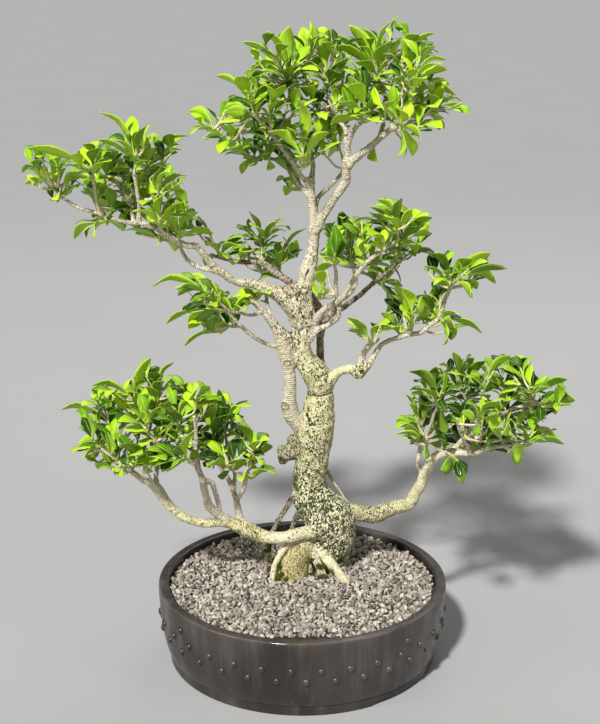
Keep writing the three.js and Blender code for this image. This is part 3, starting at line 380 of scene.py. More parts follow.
# The pot's pale patches and streaks are painted sheen, the streaks partly dust too; its glints are painted;
# its lightened edges are partly wear and partly painted highlight
POT_PAINTED_SHEEN = (0.055, 0.044, 0.038)
POT_DUST_AND_SHEEN = (0.10, 0.084, 0.073)
POT_PAINTED_GLINT = (0.26, 0.22, 0.19)
POT_WEAR_AND_HIGHLIGHT = (0.115, 0.095, 0.083)
MOSS_SHADES = ((0.0, (0.008, 0.013, 0.003)), (0.5, (0.040, 0.055, 0.009)), (1.0, (0.13, 0.155, 0.025)))
FLOOR_SHADES = ((0.31, 0.31, 0.307), (0.34, 0.338, 0.334))

# Lamps: name, place in metres, size in metres, watts
LAMPS = (("left_lamp", (-2.3, -1.3, 1.0), 1.0, 17), ("right_lamp", (2.2, -1.4, 1.0), 1.0, 11),
         ("back_lamp", (0.6, 1.9, 2.3), 1.4, 16))
LAMP_AIM = (0, 0, 0.4)
SUN_FROM = (-0.5, -1.2, 1.32)
SUN_STRENGTH = 5.25
SUN_SPREAD = math.radians(5)
SKY = 0.235
SKY_COLOUR = (1.0, 0.985, 0.96, 1)
FLOOR_REACH = 40

# Bark along a route: (share of its length, speckle, yellow, brown, ring). Yellow above 1 turns to ochre.
# A style with one stop is the same all along.
PLAIN_BARK = ((0, 0.3, 0.15, 0.08, 0.5), (1, 0.28, 0.05, 0.14, 0.7))
BARK_STYLES = {
    "trunk": ((0, 0.95, 0.75, 0.1, 0), (0.3, 1.0, 0.75, 0, 0), (0.42, 0.8, 0.9, 0, 0),
              (0.6, 0.52, 0.95, 0, 0.1), (0.72, 0.62, 0.9, 0, 0.1), (0.85, 0.5, 0.65, 0, 0.1),
              (1, 0.45, 0.5, 0.25, 0.1)),
    "leader": ((0, 0.45, 0.5, 0.15, 0.1), (0.4, 0.3, 0.3, 0.05, 0.2), (1, 0.25, 0.15, 0.2, 0.5)),
    "upper_left_branch": ((0, 0.45, 0.5, 0.2, 0.1), (0.3, 0.3, 0.25, 0.2, 0.5), (1, 0.2, 0.05, 0.35, 0.7)),
    "lower_left_branch": ((0, 0.9, 0.7, 0, 0), (0.1, 0.45, 0.5, 0, 0.1), (0.2, 0.1, 0.35, 0, 0.1),
                          (0.27, 0.5, 1.3, 0.05, 0.1), (0.4, 0.5, 1.3, 0.05, 0.1),
                          (0.55, 0.35, 1.1, 0, 0.2), (0.7, 0.2, 0.3, 0.05, 0.3), (1, 0.15, 0.1, 0.1, 0.6)),
    "lower_right_branch": ((0, 0.7, 0.8, 0, 0), (0.1, 0.6, 1.2, 0.2, 0.4), (0.25, 0.5, 1.3, 0.2, 0.6),
                           (0.38, 0.3, 0.8, 0.05, 0.5), (0.6, 0.15, 0.45, 0, 0.3),
                           (1, 0.15, 0.1, 0.25, 0.5)),
    "left_stem": ((0, 0.45, 0.8, 0, 0.2), (0.25, 0.22, 0.25, 0.03, 0.9), (0.8, 0.2, 0.15, 0.03, 1.0),
                  (1, 0.3, 0.45, 0.2, 0.4)),
    "right_small": ((0, 0.4, 0.8, 0, 0.1), (0.2, 0.2, 0.6, 0, 0.2), (0.3, 0.6, 0.9, 0, 0),
                    (0.5, 0.15, 0.2, 0.15, 0.4), (1, 0.1, 0.1, 0.35, 0.5)),
    "back_right": ((0, 0.3, 0.1, 0.85, 0.8), (1, 0.2, 0, 0.8, 0.6)),
    "back_left": ((0, 0.3, 0, 0.85, 0.7), (1, 0.2, 0, 0.7, 0.6)),
    "root_front_cone": ((0, 0.5, 0.8, 0.2, 0), (0.25, 0.45, 1.7, 0.2, 0), (1, 0.4, 1.9, 0.25, 0)),
    "root_thick_right": ((0, 0.4, 0.8, 0, 0), (0.5, 0.2, 0.6, 0, 0.1), (1, 0.1, 0.35, 0, 0.1)),
    "root_thin_left": ((0, 0.4, 0.7, 0, 0), (1, 0.15, 0.5, 0, 0.1)),
    "root_inner": ((0, 0.4, 0.4, 0.3, 0.1), (1, 0.3, 0.4, 0.3, 0.1)),
    "root_strand": ((0, 0.4, 0.3, 0.3, 0.3), (1, 0.2, 0.3, 0.2, 0.3)),
    "root_fork": ((0, 0.5, 0.3, 0.35, 0.3),),
    "root_hidden": ((0, 0.9, 0.6, 0.3, 0),),
    "root_aerial_left": ((0, 0.3, 0.1, 0.8, 0.9),),
    "root_aerial_inner": ((0, 0.4, 0.2, 0.8, 0.5),),
    "aerial_thread": ((0, 0.2, 0.1, 0.55, 0.4),),
}
BURR = (0.8, 1.5, 0.6, 0)
BELLY = (1.06, 0.85, 0, 0)
KNOB = (0.75, 1.0, 0.05, 0)
CROWN = (0.6, 0.4, 0.3, 0.2)
# Lumps on the wood: (across, down, depth, radius, bark as in the styles)
LUMPS = (
    (289, 452, 32, 13, BURR), (294, 440, 33, 9, BURR), (284, 458, 31, 9, BURR), (283, 450, 34, 8, BURR),
    (361, 371, 11, 8.6, KNOB), (357, 373, 12, 7.6, KNOB), (293, 291, 18, 9, CROWN),
    (300, 303, 20, 10, CROWN), (308, 322, 20, 8, CROWN), (336, 540, 24, 14, BELLY),
    (322, 508, 20, 13, BELLY), (286, 302, 16, 6.5, CROWN), (296, 313, 14, 7.5, CROWN),
    (304, 291, 16, 6, CROWN), (309, 309, 17, 6.5, CROWN), (300, 326, 15, 7, CROWN),
    (312, 334, 19, 6.5, CROWN), (281, 332, 18, 7.5, CROWN), (287, 338, 19, 8.5, CROWN),
    (292, 346, 22, 8, CROWN), (276, 326, 17, 5.5, CROWN),
)

# Wood routes: (across, down, depth, radius). The last three are fine roots between the thick ones.
ROUTES = {
    "trunk": ((333, 584, 44, 15), (332, 562, 43, 21), (331, 546, 40, 28), (331, 531, 38, 34),
        (327, 518, 38, 35), (319, 506, 39, 30), (311, 494, 40, 25), (309, 480, 40, 22),
        (311, 467, 38, 21.5), (313, 450, 36, 23.5), (315, 430, 34, 24.5), (318, 413, 33, 21.5),
        (319, 404, 32, 19.5), (320, 391, 31, 16.5), (320, 380, 30, 19), (312, 369, 28, 17.5),
        (304, 358, 26, 13.5), (301, 342, 25, 12.5), (302, 328, 25, 14), (300, 314, 25, 16),
        (294, 302, 24, 15), (286, 296, 22, 12)),
    "leader": ((300, 314, 25, 12), (303, 303, 25, 10.5), (305, 290, 24, 10), (308, 272, 24, 11.5),
        (312, 255, 24, 8), (314, 240, 24, 6.5), (316, 226, 24, 6.2)),
    "upper_left_branch": ((297, 305, 25, 12), (285, 297, 23, 12), (270, 290, 20, 9), (255, 284, 16, 6.6),
        (245, 283, 12, 5.8), (235, 281, 9, 5.3), (225, 275, 6, 5.2), (213, 265, 2, 5), (203, 254, -3, 4.6),
        (197, 246, -6, 4.3), (185, 245, -8, 3.9), (168, 236, -8, 3.7), (150, 225, -4, 3),
        (125, 222, 6, 2.7), (100, 214, 12, 2.5), (80, 208, 15, 2.1), (61, 197, 20, 1.8)),
    "lower_left_branch": ((322, 528, 20, 12), (311, 532, 8, 9), (300, 534, 2, 8.8), (280, 538, -4, 8.2),
        (262, 536, -6, 8.8), (250, 531, -6, 10.5), (240, 527, -6, 8.8), (225, 522, -6, 7.5),
        (205, 523, -8, 5.9), (190, 520, -10, 6), (178, 513, -12, 6.1), (167, 503, -14, 6.7),
        (160, 493, -16, 7.6), (155, 486, -18, 7.2), (146, 481, -20, 4.9), (137, 476, -22, 4),
        (127, 467, -24, 3.4), (117, 460, -26, 2.7), (100, 448, -30, 2)),
    "lower_right_branch": ((334, 520, 40, 14), (352, 512, 44, 11), (365, 514, 45, 11), (377, 514, 45, 12),
        (390, 509, 44, 9.7), (402, 506, 42, 8.8), (410, 503, 41, 8.6), (415, 494, 40, 8.2),
        (420, 486, 38, 8), (425, 474, 36, 7.3), (431, 463, 34, 7), (437, 456, 32, 6.5), (447, 453, 28, 5.4),
        (460, 453, 24, 4.7), (475, 453, 20, 4), (490, 448, 16, 2.7), (505, 446, 12, 2.3),
        (526, 444, 8, 1.7)),
    "left_stem": ((309, 437, 32, 14), (303, 428, 28, 12), (292, 415, 24, 11), (289, 405, 22, 10.6),
        (290, 385, 20, 8), (288, 365, 20, 8.6), (285, 350, 20, 9.4), (283, 338, 20, 10),
        (283, 333, 20, 6.5)),
    "aerial_thread": ((321, 462, 46, 3), (332, 479, 54, 2), (342, 495, 54, 1.9), (353, 511, 47, 2.4)),
    "left_stem_arm": ((283, 342, 20, 7), (272, 322, 16, 5.8), (262, 310, 12, 4.6), (252, 301, 8, 3.2)),
    "left_stem_twig": ((272, 322, 16, 3), (268, 306, 24, 2.4), (266, 293, 30, 2)),
    "left_stem_thread": ((262, 312, 12, 2.6), (253, 315, 2, 2), (240, 313, -18, 1.8), (226, 311, -42, 1.6)),
    "left_stem_low_twig": ((284, 346, 20, 4), (276, 346, 18, 2.9), (262, 342, 12, 2.6), (250, 334, 6, 2.5),
        (240, 325, -2, 2.4), (230, 314, -10, 2.3), (222, 305, -18, 1.9)),
    "upper_left_lower_arm": ((218, 270, 4, 4), (204, 269, 8, 2.8), (193, 264, 12, 2.6), (185, 257, 16, 2.5),
        (178, 242, 18, 2)),
    "upper_left_rise": ((139, 222, 0, 2.6), (139, 207, -6, 2.4), (137, 190, -12, 2.2),
        (134, 175, -18, 1.9)),
    "upper_left_back_rise": ((134, 222, 2, 2.4), (128, 200, 16, 2.1), (113, 178, 30, 1.7)),
    "upper_left_front_rise": ((105, 216, 10, 2.4), (98, 203, -6, 2.2), (94, 182, -26, 1.8)),
    "apex_arm_left": ((315, 232, 24, 6), (313, 215, 25, 5.3), (312, 200, 28, 5), (311, 187, 30, 4.7),
        (309, 179, 30, 3.8)),
    "apex_twig_far_left": ((311, 186, 30, 4), (303, 178, 26, 3.3), (295, 165, 16, 3), (285, 152, 8, 2.9),
        (275, 138, -2, 2.6), (270, 129, -10, 2.2)),
    "apex_twig_back_left": ((311, 184, 30, 3.6), (313, 166, 44, 3), (311, 150, 56, 2.3)),
    "apex_twig_low_left": ((310, 196, 29, 3.2), (298, 182, 42, 2.4), (291, 170, 54, 2.1),
        (284, 160, 64, 1.8)),
    "apex_arm_right": ((316, 228, 24, 6), (322, 218, 24, 5.8), (330, 205, 22, 5.6), (338, 193, 20, 5.5),
        (346, 181, 18, 5.3), (346, 170, 15, 5.2), (347, 160, 14, 4.8)),
    "apex_rise": ((347, 164, 14, 4.7), (347, 150, 12, 4.6), (350, 138, 8, 4), (355, 128, 0, 3),
        (362, 122, -10, 2.4)),
    "apex_twig_left": ((347, 152, 13, 3.6), (346, 138, 20, 3), (345, 128, 28, 2.8), (338, 120, 36, 2.7),
        (330, 112, 42, 2.6), (322, 104, 48, 2.1)),
    "apex_twig_tall": ((334, 116, 39, 2.4), (330, 105, 50, 2.1), (328, 92, 58, 1.8)),
    "apex_bough_right": ((347, 166, 14, 4.6), (356, 157, 10, 4.3), (368, 149, 4, 4.4), (380, 138, -2, 4.2),
        (392, 129, -6, 3.7), (403, 124, -10, 3.2), (413, 120, -12, 2.7), (423, 116, -14, 2.2),
        (435, 108, -18, 1.7)),
    "apex_twig_back": ((314, 212, 27, 3.6), (318, 198, 38, 3), (330, 186, 52, 2.6), (342, 172, 70, 2.3),
        (343, 158, 88, 1.9)),
    "apex_twig_brown": ((380, 138, 0, 3), (384, 118, 18, 2.4), (385, 98, 34, 2.1), (381, 83, 42, 1.7)),
    "middle_front": ((309, 332, 26, 6), (313, 325, 20, 5.2), (322, 312, 8, 4.6), (333, 304, -4, 4.5),
        (341, 299, -12, 3.9), (350, 286, -20, 3.3), (356, 276, -24, 3), (365, 264, -30, 2.7),
        (386, 248, -40, 2.1), (398, 240, -44, 1.7)),
    "middle_fork": ((304, 347, 26, 5), (309, 342, 18, 4), (318, 330, 11, 3.9), (330, 324, 5, 3.6),
        (338, 316, 1, 3.5), (339, 305, -4, 3.2), (336, 292, -10, 2.9), (336, 275, -16, 2.4),
        (335, 265, -20, 2)),
    "middle_twig": ((340, 300, -12, 3), (350, 293, 0, 2.6), (356, 283, 16, 2.3), (353, 268, 42, 1.9)),
    "back_right": ((318, 379, 38, 6), (321, 365, 48, 5.6), (320, 350, 54, 5), (321, 333, 57, 5.2),
        (328, 316, 60, 5.8), (345, 306, 66, 3.9), (360, 295, 72, 3.4), (372, 284, 78, 3.1),
        (388, 272, 84, 2.6), (407, 254, 90, 1.8)),
    "back_left": ((325, 322, 59, 6), (315, 303, 62, 6.5), (304, 290, 66, 6), (290, 282, 72, 5.2),
        (275, 272, 78, 4.6), (262, 263, 84, 3.9), (240, 262, 78, 3), (222, 258, 74, 2.4),
        (210, 254, 70, 1.9)),
    "right_small": ((322, 386, 30, 10), (331, 378, 26, 8), (340, 371, 22, 6.4), (350, 369, 16, 6),
        (359, 371, 12, 8.2), (367, 366, 8, 5), (374, 356, 4, 3.6), (380, 346, 2, 3.3), (386, 342, 0, 3.2),
        (400, 337, -4, 3.1), (412, 334, -6, 3), (422, 332, -8, 3), (430, 325, -10, 2.9),
        (437, 320, -12, 2.8), (441, 312, -14, 2.7), (444, 303, -16, 2.7), (448, 293, -19, 2.5),
        (455, 280, -24, 2)),
    "right_small_stub": ((361, 370, 12, 6), (363, 354, 9, 4), (370, 345, 2, 4), (377, 339, -4, 3.8)),
    "lower_left_rise_a": ((246, 528, -4, 6), (240, 519, 4, 6), (238, 510, 10, 4.9), (236, 500, 14, 4.6),
        (233, 490, 18, 4.1), (229, 480, 22, 3.8), (222, 470, 28, 3.2), (217, 459, 32, 2.3)),
    "lower_left_rise_b": ((228, 522, -6, 6), (218, 514, -14, 6), (208, 505, -22, 6), (206, 497, -26, 5.4),
        (204, 489, -30, 5), (202, 478, -34, 4.6), (198, 469, -38, 4), (195, 460, -42, 3.5),
        (195, 448, -46, 2.9), (196, 434, -50, 2.4), (194, 416, -58, 1.9)),
    "lower_left_rise_c": ((157, 490, -16, 4.4), (156, 475, -6, 3.2), (158, 462, 6, 2.8),
        (153, 450, 18, 2.6), (150, 435, 28, 2.2), (151, 420, 38, 1.8)),
    "lower_left_twig_front": ((236, 500, 14, 3.6), (241, 494, 8, 3.2), (245, 484, 2, 3),
        (246, 472, -4, 2.7), (250, 462, -10, 2.1)),
    "lower_left_twig_back": ((233, 489, 19, 3), (235, 474, 30, 2.3), (230, 460, 40, 2.1),
        (227, 446, 50, 1.9), (225, 430, 58, 1.6)),
    "lower_left_brace": ((203, 480, -34, 3.6), (211, 482, -26, 3.2), (215, 492, -18, 3),
        (218, 503, -12, 2.9), (221, 515, -9, 3)),
    "lower_right_rise_back": ((424, 480, 38, 4), (418, 464, 46, 3), (420, 450, 52, 2.8),
        (423, 437, 58, 2.2)),
    "lower_right_rise": ((450, 454, 28, 3.8), (462, 440, 32, 3), (475, 426, 34, 2.8), (500, 415, 30, 2.6),
        (515, 408, 24, 2.3), (533, 405, 14, 1.8)),
    "lower_right_twig_front": ((470, 453, 20, 2.8), (464, 440, 0, 2.3), (459, 428, -14, 2.1),
        (457, 418, -24, 1.7)),
    "lower_right_twig_inner": ((420, 450, 52, 2.6), (427, 434, 38, 2.3), (433, 418, 26, 2),
        (438, 404, 16, 1.7)),
    "lower_right_twig_outer": ((504, 446, 12, 2.1), (502, 430, 24, 1.9), (505, 417, 36, 1.6)),
    "root_thin_left": ((297, 536, 14, 6), (285, 548, 2, 4.4), (276, 562, -4, 4.2), (272, 580, -8, 4.2),
        (271, 604, -10, 3.4)),
    "root_front_cone": ((304, 534, 26, 14), (298, 552, 17, 18), (292, 566, 12, 22), (291, 582, 12, 24.5),
        (291, 606, 14, 20)),
    "root_inner": ((304, 540, 22, 6), (313, 557, 10, 4.4), (320, 570, 2, 4), (325, 592, 0, 3.4)),
    "root_thick_right": ((316, 538, 26, 10), (322, 552, 14, 7.5), (333, 566, 2, 7), (346, 583, -8, 6.5),
        (358, 604, -14, 5)),
    "root_aerial_left": ((300, 486, 32, 5), (291, 500, 26, 3.8), (281, 516, 22, 3.5), (273, 531, 20, 3.5),
        (269, 548, 18, 3.5), (266, 566, 16, 3.5), (265, 598, 16, 3.2)),
    "root_aerial_inner": ((305, 504, 36, 6), (298, 514, 36, 4.5), (292, 530, 38, 4.4), (287, 548, 42, 4.4),
        (284, 582, 46, 4)),
    "root_strand": ((307, 538, 22, 6), (312, 548, 12, 3.6), (319, 561, 4, 2.8), (325, 575, 0, 2.6),
        (328, 596, 0, 2.2)),
    "root_fork": ((302, 538, 22, 6), (306, 550, 16, 3.4), (309, 563, 12, 3.4), (311, 575, 10, 3.2),
        (312, 596, 8, 3.0)),
    "root_hidden": ((318, 540, 30, 10), (322, 556, 26, 6), (326, 572, 22, 6), (328, 590, 20, 5)),
}

# Sprays by pad: each has shoots, from base to tip, with the leaves that are seen on them, whose tips are
# (across, down, how broad the leaf looks in pixels)
SPRAYS = {
    "apex": [
        [((256, 118, -30), (250, 100, -40), [(238, 73, 14), (225, 108, 10), (240, 118, 10, 1),
            (224, 112, 11), (217, 74, 3)]),
         ((232, 140, -6), (214, 128, -10), [(190, 110, 10), (190, 131, 3), (198, 107, 5), (201, 137, 6),
            (217, 121, 4)])],
        [((270, 124, -14), (270, 104, -34), [(265, 80, 10), (250, 82, 8), (285, 84, 8), (262, 120, 8),
            (283, 98, 6), (245, 128, 5)])],
        [((289, 95, 10), (288, 72, 0), [(288, 26, 17), (262, 50, 16), (243, 40, 7), (268, 30, 9),
            (298, 62, 9), (254, 62, 3), (268, 66, 5, 1)]),
         ((307, 84, 40), (307, 62, 56), [(302, 27, 18), (316, 20, 12), (318, 58, 8)])],
        [((328, 87, 58), (326, 72, 50), [(328, 28, 14), (338, 54, 12), (340, 68, 12, 1), (316, 60, 6),
            (349, 58, 4), (341, 74, 4)]),
         ((343, 110, 72), (343, 92, 92), [(338, 80, 14), (349, 84, 8), (330, 100, 6)])],
        [((306, 166, -14), (303, 156, -40), [(272, 127, 10), (325, 130, 9), (297, 155, 8), (306, 130, 7),
            (302, 96, 12)])],
        [((362, 120, -16), (366, 105, -44), [(350, 80, 16), (331, 121, 8), (340, 100, 9), (380, 100, 8),
            (349, 76, 10, 1)]),
         ((383, 122, -34), (385, 105, -66), [(372, 88, 10), (393, 100, 8), (380, 118, 8)])],
        [((382, 92, 38), (377, 72, 40), [(350, 24, 14), (333, 42, 9), (356, 60, 9), (392, 12, 5),
            (390, 38, 12), (370, 27, 4), (333, 34, 5), (353, 68, 4)]),
         ((392, 90, 80), (386, 64, 104), [(388, 42, 12, 1), (400, 38, 10), (372, 52, 8)])],
        [((402, 98, -4), (402, 60, -8), [(417, 30, 15), (405, 50, 12, 1), (434, 32, 4)]),
         ((412, 98, -46), (415, 68, -62), [(434, 46, 11), (425, 75, 10), (443, 55, 3), (442, 60, 3),
            (444, 66, 3)])],
        [((415, 106, 40), (421, 88, 56), [(440, 78, 9), (448, 82, 6), (413, 84, 13), (454, 89, 4)])],
        [((430, 112, -16), (438, 106, -18), [(431, 90, 12), (467, 110, 3), (440, 117, 4), (441, 127, 6),
            (437, 106, 3)])],
        [((400, 126, -50), (402, 122, -76), [(424, 139, 8), (414, 154, 9), (400, 105, 10), (402, 157, 4)])],
        [((340, 150, 96), (335, 138, 112), [(327, 157, 8), (345, 130, 5), (318, 150, 3), (323, 130, 9)])],
        [((270, 158, 66), (252, 157, 78), [(220, 150, 5), (240, 170, 5), (290, 172, 9, 1), (270, 168, 4)])],
    ],
    "upper_left": [
        [((62, 197, 20), (56, 188, 20), [(25, 164, 9), (27, 179, 4), (63, 164, 11), (68, 178, 9),
            (56, 198, 3)])],
        [((94, 182, -26), (92, 168, -40), [(27, 147, 8), (83, 143, 16), (98, 145, 12, 1), (66, 176, 4),
            (110, 158, 7), (83, 184, 3)])],
        [((97, 208, 36), (98, 203, 56), [(87, 185, 10, 1), (107, 184, 11, 1), (114, 203, 9),
            (100, 170, 9)]),
         ((106, 220, -6), (97, 223, -26), [(73, 234, 5), (92, 235, 5), (123, 229, 5)])],
        [((134, 175, -18), (136, 155, -22), [(105, 108, 6), (130, 115, 16), (145, 125, 8, 1), (124, 134, 9),
            (99, 137, 4), (130, 155, 14, 1), (111, 137, 4)])],
        [((145, 172, 46), (146, 160, 60), [(152, 147, 14), (188, 133, 4), (181, 147, 4), (174, 149, 7, 1),
            (153, 137, 5), (165, 168, 4)]),
         ((138, 206, 60), (136, 198, 80), [(122, 200, 8), (113, 188, 6), (150, 190, 7)])],
        [((158, 195, -44), (158, 185, -62), [(185, 171, 6, 1), (180, 188, 8), (170, 167, 3),
            (150, 180, 8)])],
        [((160, 228, -30), (160, 220, -56), [(133, 209, 6), (150, 200, 9), (162, 192, 9), (168, 203, 8),
            (184, 200, 3), (166, 225, 6)])],
        [((178, 240, 18), (178, 230, 20), [(198, 211, 12), (211, 229, 7), (196, 232, 5), (166, 224, 5)]),
         ((166, 240, 44), (160, 238, 62), [(136, 232, 8, 1), (157, 245, 5), (175, 250, 6), (123, 229, 5)])],
    ],
    "middle_left": [
        [((262, 262, 86), (262, 240, 92), [(251, 210, 6), (240, 225, 4), (252, 222, 7), (275, 228, 7),
            (283, 218, 5), (258, 232, 11, 1)])],
        [((280, 272, 104), (280, 260, 118), [(281, 250, 12), (298, 240, 14), (303, 226, 4),
            (270, 262, 8)])],
        [((220, 256, 72), (216, 248, 68), [(208, 240, 10), (240, 237, 7, 1), (241, 244, 8), (205, 262, 6),
            (228, 256, 4)]),
         ((236, 262, 54), (243, 256, 40), [(245, 243, 8), (252, 250, 7), (230, 262, 6)])],
    ],
    "left": [
        [((222, 305, -20), (208, 292, -30), [(153, 278, 6), (190, 275, 11), (216, 284, 8), (178, 293, 3),
            (198, 300, 6), (175, 283, 4)]),
         ((233, 312, -12), (235, 303, -8), [(231, 297, 6, 1), (245, 308, 6), (220, 296, 7),
            (240, 290, 6)])],
        [((225, 311, -44), (213, 308, -60), [(165, 322, 4), (188, 320, 5), (195, 320, 9, 1),
            (210, 329, 6, 1)])],
        [((240, 327, 6), (226, 326, 22), [(184, 345, 4), (220, 333, 5), (213, 324, 3)])],
    ],
    "middle_right": [
        [((398, 240, -44), (398, 225, -50), [(400, 198, 10, 1), (383, 197, 4), (366, 204, 5), (372, 215, 4),
            (388, 214, 11), (414, 209, 7)])],
        [((400, 246, -2), (404, 235, 10), [(432, 215, 11), (410, 216, 10), (420, 226, 10, 1), (430, 234, 3),
            (423, 245, 3), (417, 252, 3)])],
        [((382, 250, -58), (384, 240, -80), [(372, 228, 8), (395, 226, 9), (366, 245, 6), (385, 228, 8)])],
        [((351, 262, 50), (348, 245, 66), [(340, 211, 16, 1), (327, 226, 7), (363, 222, 10),
            (327, 249, 8)])],
        [((335, 264, -22), (335, 256, -38), [(320, 256, 4), (318, 272, 8), (345, 262, 7)])],
        [((400, 258, 90), (407, 250, 100), [(415, 240, 6), (400, 262, 5), (388, 270, 6)]),
         ((376, 282, 92), (382, 280, 108), [(400, 288, 6), (390, 298, 5), (397, 312, 4),
            (362, 273, 8, 1)])],
    ],
    "right": [
        [((372, 344, -8), (369, 338, -22), [(348, 316, 8), (354, 328, 4), (386, 318, 4)])],
        [((412, 330, -22), (413, 315, -36), [(407, 286, 13), (424, 296, 9), (402, 307, 4), (428, 312, 5)]),
         ((400, 334, 10), (399, 326, 30), [(386, 312, 7), (413, 322, 9), (412, 305, 3), (384, 325, 3)])],
        [((450, 290, -18), (450, 276, -14), [(431, 249, 10, 1), (447, 250, 13, 1), (421, 264, 4),
            (437, 280, 6), (470, 256, 12), (490, 252, 13)])],
        [((456, 281, -34), (463, 275, -48), [(505, 268, 7, 1), (495, 277, 4), (472, 296, 8), (477, 287, 3),
            (474, 297, 3), (470, 290, 3)])],
        [((440, 318, -26), (443, 321, -46), [(461, 312, 6), (483, 331, 5), (456, 326, 6), (455, 336, 4),
            (447, 345, 4), (447, 334, 3)])],
    ],
    "lower_left": [
        [((100, 448, -30), (93, 440, -35), [(71, 450, 3), (82, 441, 8), (83, 457, 6), (80, 425, 6),
            (88, 415, 9), (97, 425, 8, 1)])],
        [((146, 468, -46), (147, 460, -72), [(120, 443, 12, 1), (147, 470, 6), (165, 455, 5)]),
         ((120, 464, -44), (112, 454, -52), [(98, 468, 6), (110, 435, 8), (126, 452, 8, 1)])],
        [((112, 432, 26), (108, 418, 42), [(62, 403, 6), (76, 410, 3), (102, 391, 6), (103, 405, 10, 1),
            (117, 386, 6)])],
        [((138, 420, -4), (135, 400, -18), [(150, 357, 11), (94, 379, 6), (130, 386, 8), (120, 400, 9, 1),
            (145, 390, 5), (150, 405, 7)])],
        [((156, 412, 46), (160, 395, 58), [(147, 385, 12), (169, 361, 5), (165, 377, 13), (178, 379, 6),
            (195, 388, 4), (171, 397, 6)])],
        [((190, 462, -80), (184, 456, -104), [(193, 430, 9), (197, 455, 8, 1), (172, 448, 12, 1),
            (167, 470, 5)])],
        [((217, 459, 32), (213, 438, 28), [(214, 405, 14), (223, 390, 12, 1), (228, 410, 8, 1),
            (200, 440, 6), (222, 443, 6)])],
        [((232, 470, -14), (228, 465, -40), [(208, 462, 10), (222, 478, 5, 1), (240, 458, 7),
            (245, 463, 9)])],
        [((250, 461, -10), (254, 449, -18), [(238, 423, 11, 1), (245, 445, 13), (267, 437, 5),
            (272, 446, 9, 1), (263, 461, 4)])],
        [((178, 432, -36), (178, 420, -52), [(172, 410, 13, 1), (175, 440, 9, 1), (160, 432, 6),
            (188, 400, 5)]),
         ((194, 412, -58), (196, 396, -56), [(207, 386, 4), (195, 384, 3), (205, 402, 6), (190, 400, 5)])],
    ],
    "lower_right": [
        [((423, 437, 58), (421, 425, 68), [(420, 387, 13, 1), (428, 396, 9), (404, 389, 3),
            (400, 418, 9, 1)])],
        [((427, 446, 2), (424, 436, -34), [(395, 434, 5), (405, 428, 7, 1), (412, 442, 9, 1),
            (440, 446, 6, 1), (425, 458, 6)]),
         ((450, 454, -14), (457, 460, -42), [(464, 482, 12), (443, 470, 8)])],
        [((438, 404, 16), (440, 396, 10), [(412, 367, 11, 1), (445, 367, 6), (416, 386, 6),
            (441, 440, 10, 1)])],
        [((466, 404, 62), (462, 385, 78), [(454, 351, 10), (483, 358, 11), (470, 354, 4),
            (459, 392, 12, 1)]),
         ((482, 398, 30), (485, 380, 8), [(486, 366, 3), (510, 354, 8), (495, 385, 6)])],
        [((505, 404, 46), (502, 385, 58), [(528, 358, 17, 1), (490, 378, 7), (512, 385, 8),
            (547, 389, 4)])],
        [((533, 404, 8), (542, 404, -18), [(576, 396, 14), (556, 412, 6)]),
         ((531, 400, 0), (530, 386, -14), [(530, 362, 9), (566, 376, 9), (520, 372, 8)])],
        [((525, 444, 4), (530, 442, -24), [(564, 441, 7), (517, 460, 10), (508, 452, 5)]),
         ((526, 430, 40), (528, 420, 58), [(558, 437, 8), (545, 430, 5), (522, 430, 8)])],
        [((478, 424, -42), (478, 415, -66), [(500, 400, 9), (462, 412, 9), (478, 432, 6)])],
        [((478, 450, 64), (482, 445, 86), [(486, 432, 9, 1), (484, 451, 7), (464, 452, 9), (470, 436, 6)])],
    ],
}
# Sprays that only this script has, within the pads
FINER_SPRAYS = {
    "apex_14": [((322, 105, 20), (300, 98, 20), [(303, 82, 13), (288, 86, 6)])],
    "apex_16": [((300, 190, 70), (297, 182, 90), [(278, 176, 4), (286, 191, 3)])],
    "apex_17": [((375, 145, 90), (372, 150, 110), [(375, 160, 8)])],
    "upper_left_09": [((113, 177, 25), (113, 168, 35), [(115, 150, 13), (122, 156, 8), (128, 166, 6)])],
    "middle_left_04": [((262, 272, 115), (262, 275, 130), [(250, 255, 12, 1), (285, 280, 9, 1),
        (268, 265, 6)])],
    "left_04": [((258, 300, 30), (255, 292, 40), [(240, 288, 6), (262, 284, 6), (270, 292, 6),
        (247, 300, 6)])],
    "middle_right_07": [((365, 264, -20), (362, 250, -25), [(370, 235, 8), (355, 240, 7)])],
    "middle_right_08": [((318, 298, -40), (320, 292, -60), [(315, 290, 8), (328, 290, 9), (312, 282, 6)])],
    "right_06": [((430, 322, 30), (428, 312, 45), [(425, 292, 8, 1), (433, 312, 6, 1), (408, 300, 4),
        (440, 305, 7)])],
    "lower_left_11": [((150, 435, -60), (145, 420, -80), [(143, 408, 6), (138, 420, 7), (160, 405, 4)])],
    "lower_left_12": [((130, 467, -55), (128, 462, -80), [(119, 475, 3), (125, 450, 9, 1), (140, 450, 6)])],
    "lower_left_13": [((196, 435, 0), (197, 420, 15), [(199, 412, 5), (208, 430, 3), (190, 440, 6)])],
    "lower_left_14": [((224, 423, 60), (226, 420, 70), [(247, 400, 3), (205, 408, 3)])],
    "lower_left_15": [((250, 478, -40), (253, 476, -60), [(275, 470, 3), (260, 472, 8), (240, 478, 6)])],
    "lower_right_10": [((500, 440, -70), (500, 430, -90), [(492, 425, 6), (510, 420, 7)])],
}
EVERY_SPRAY = {f"{pad}_{number:02d}": entries for pad, sprays in SPRAYS.items()
               for number, entries in enumerate(sprays, 1)} | FINER_SPRAYS


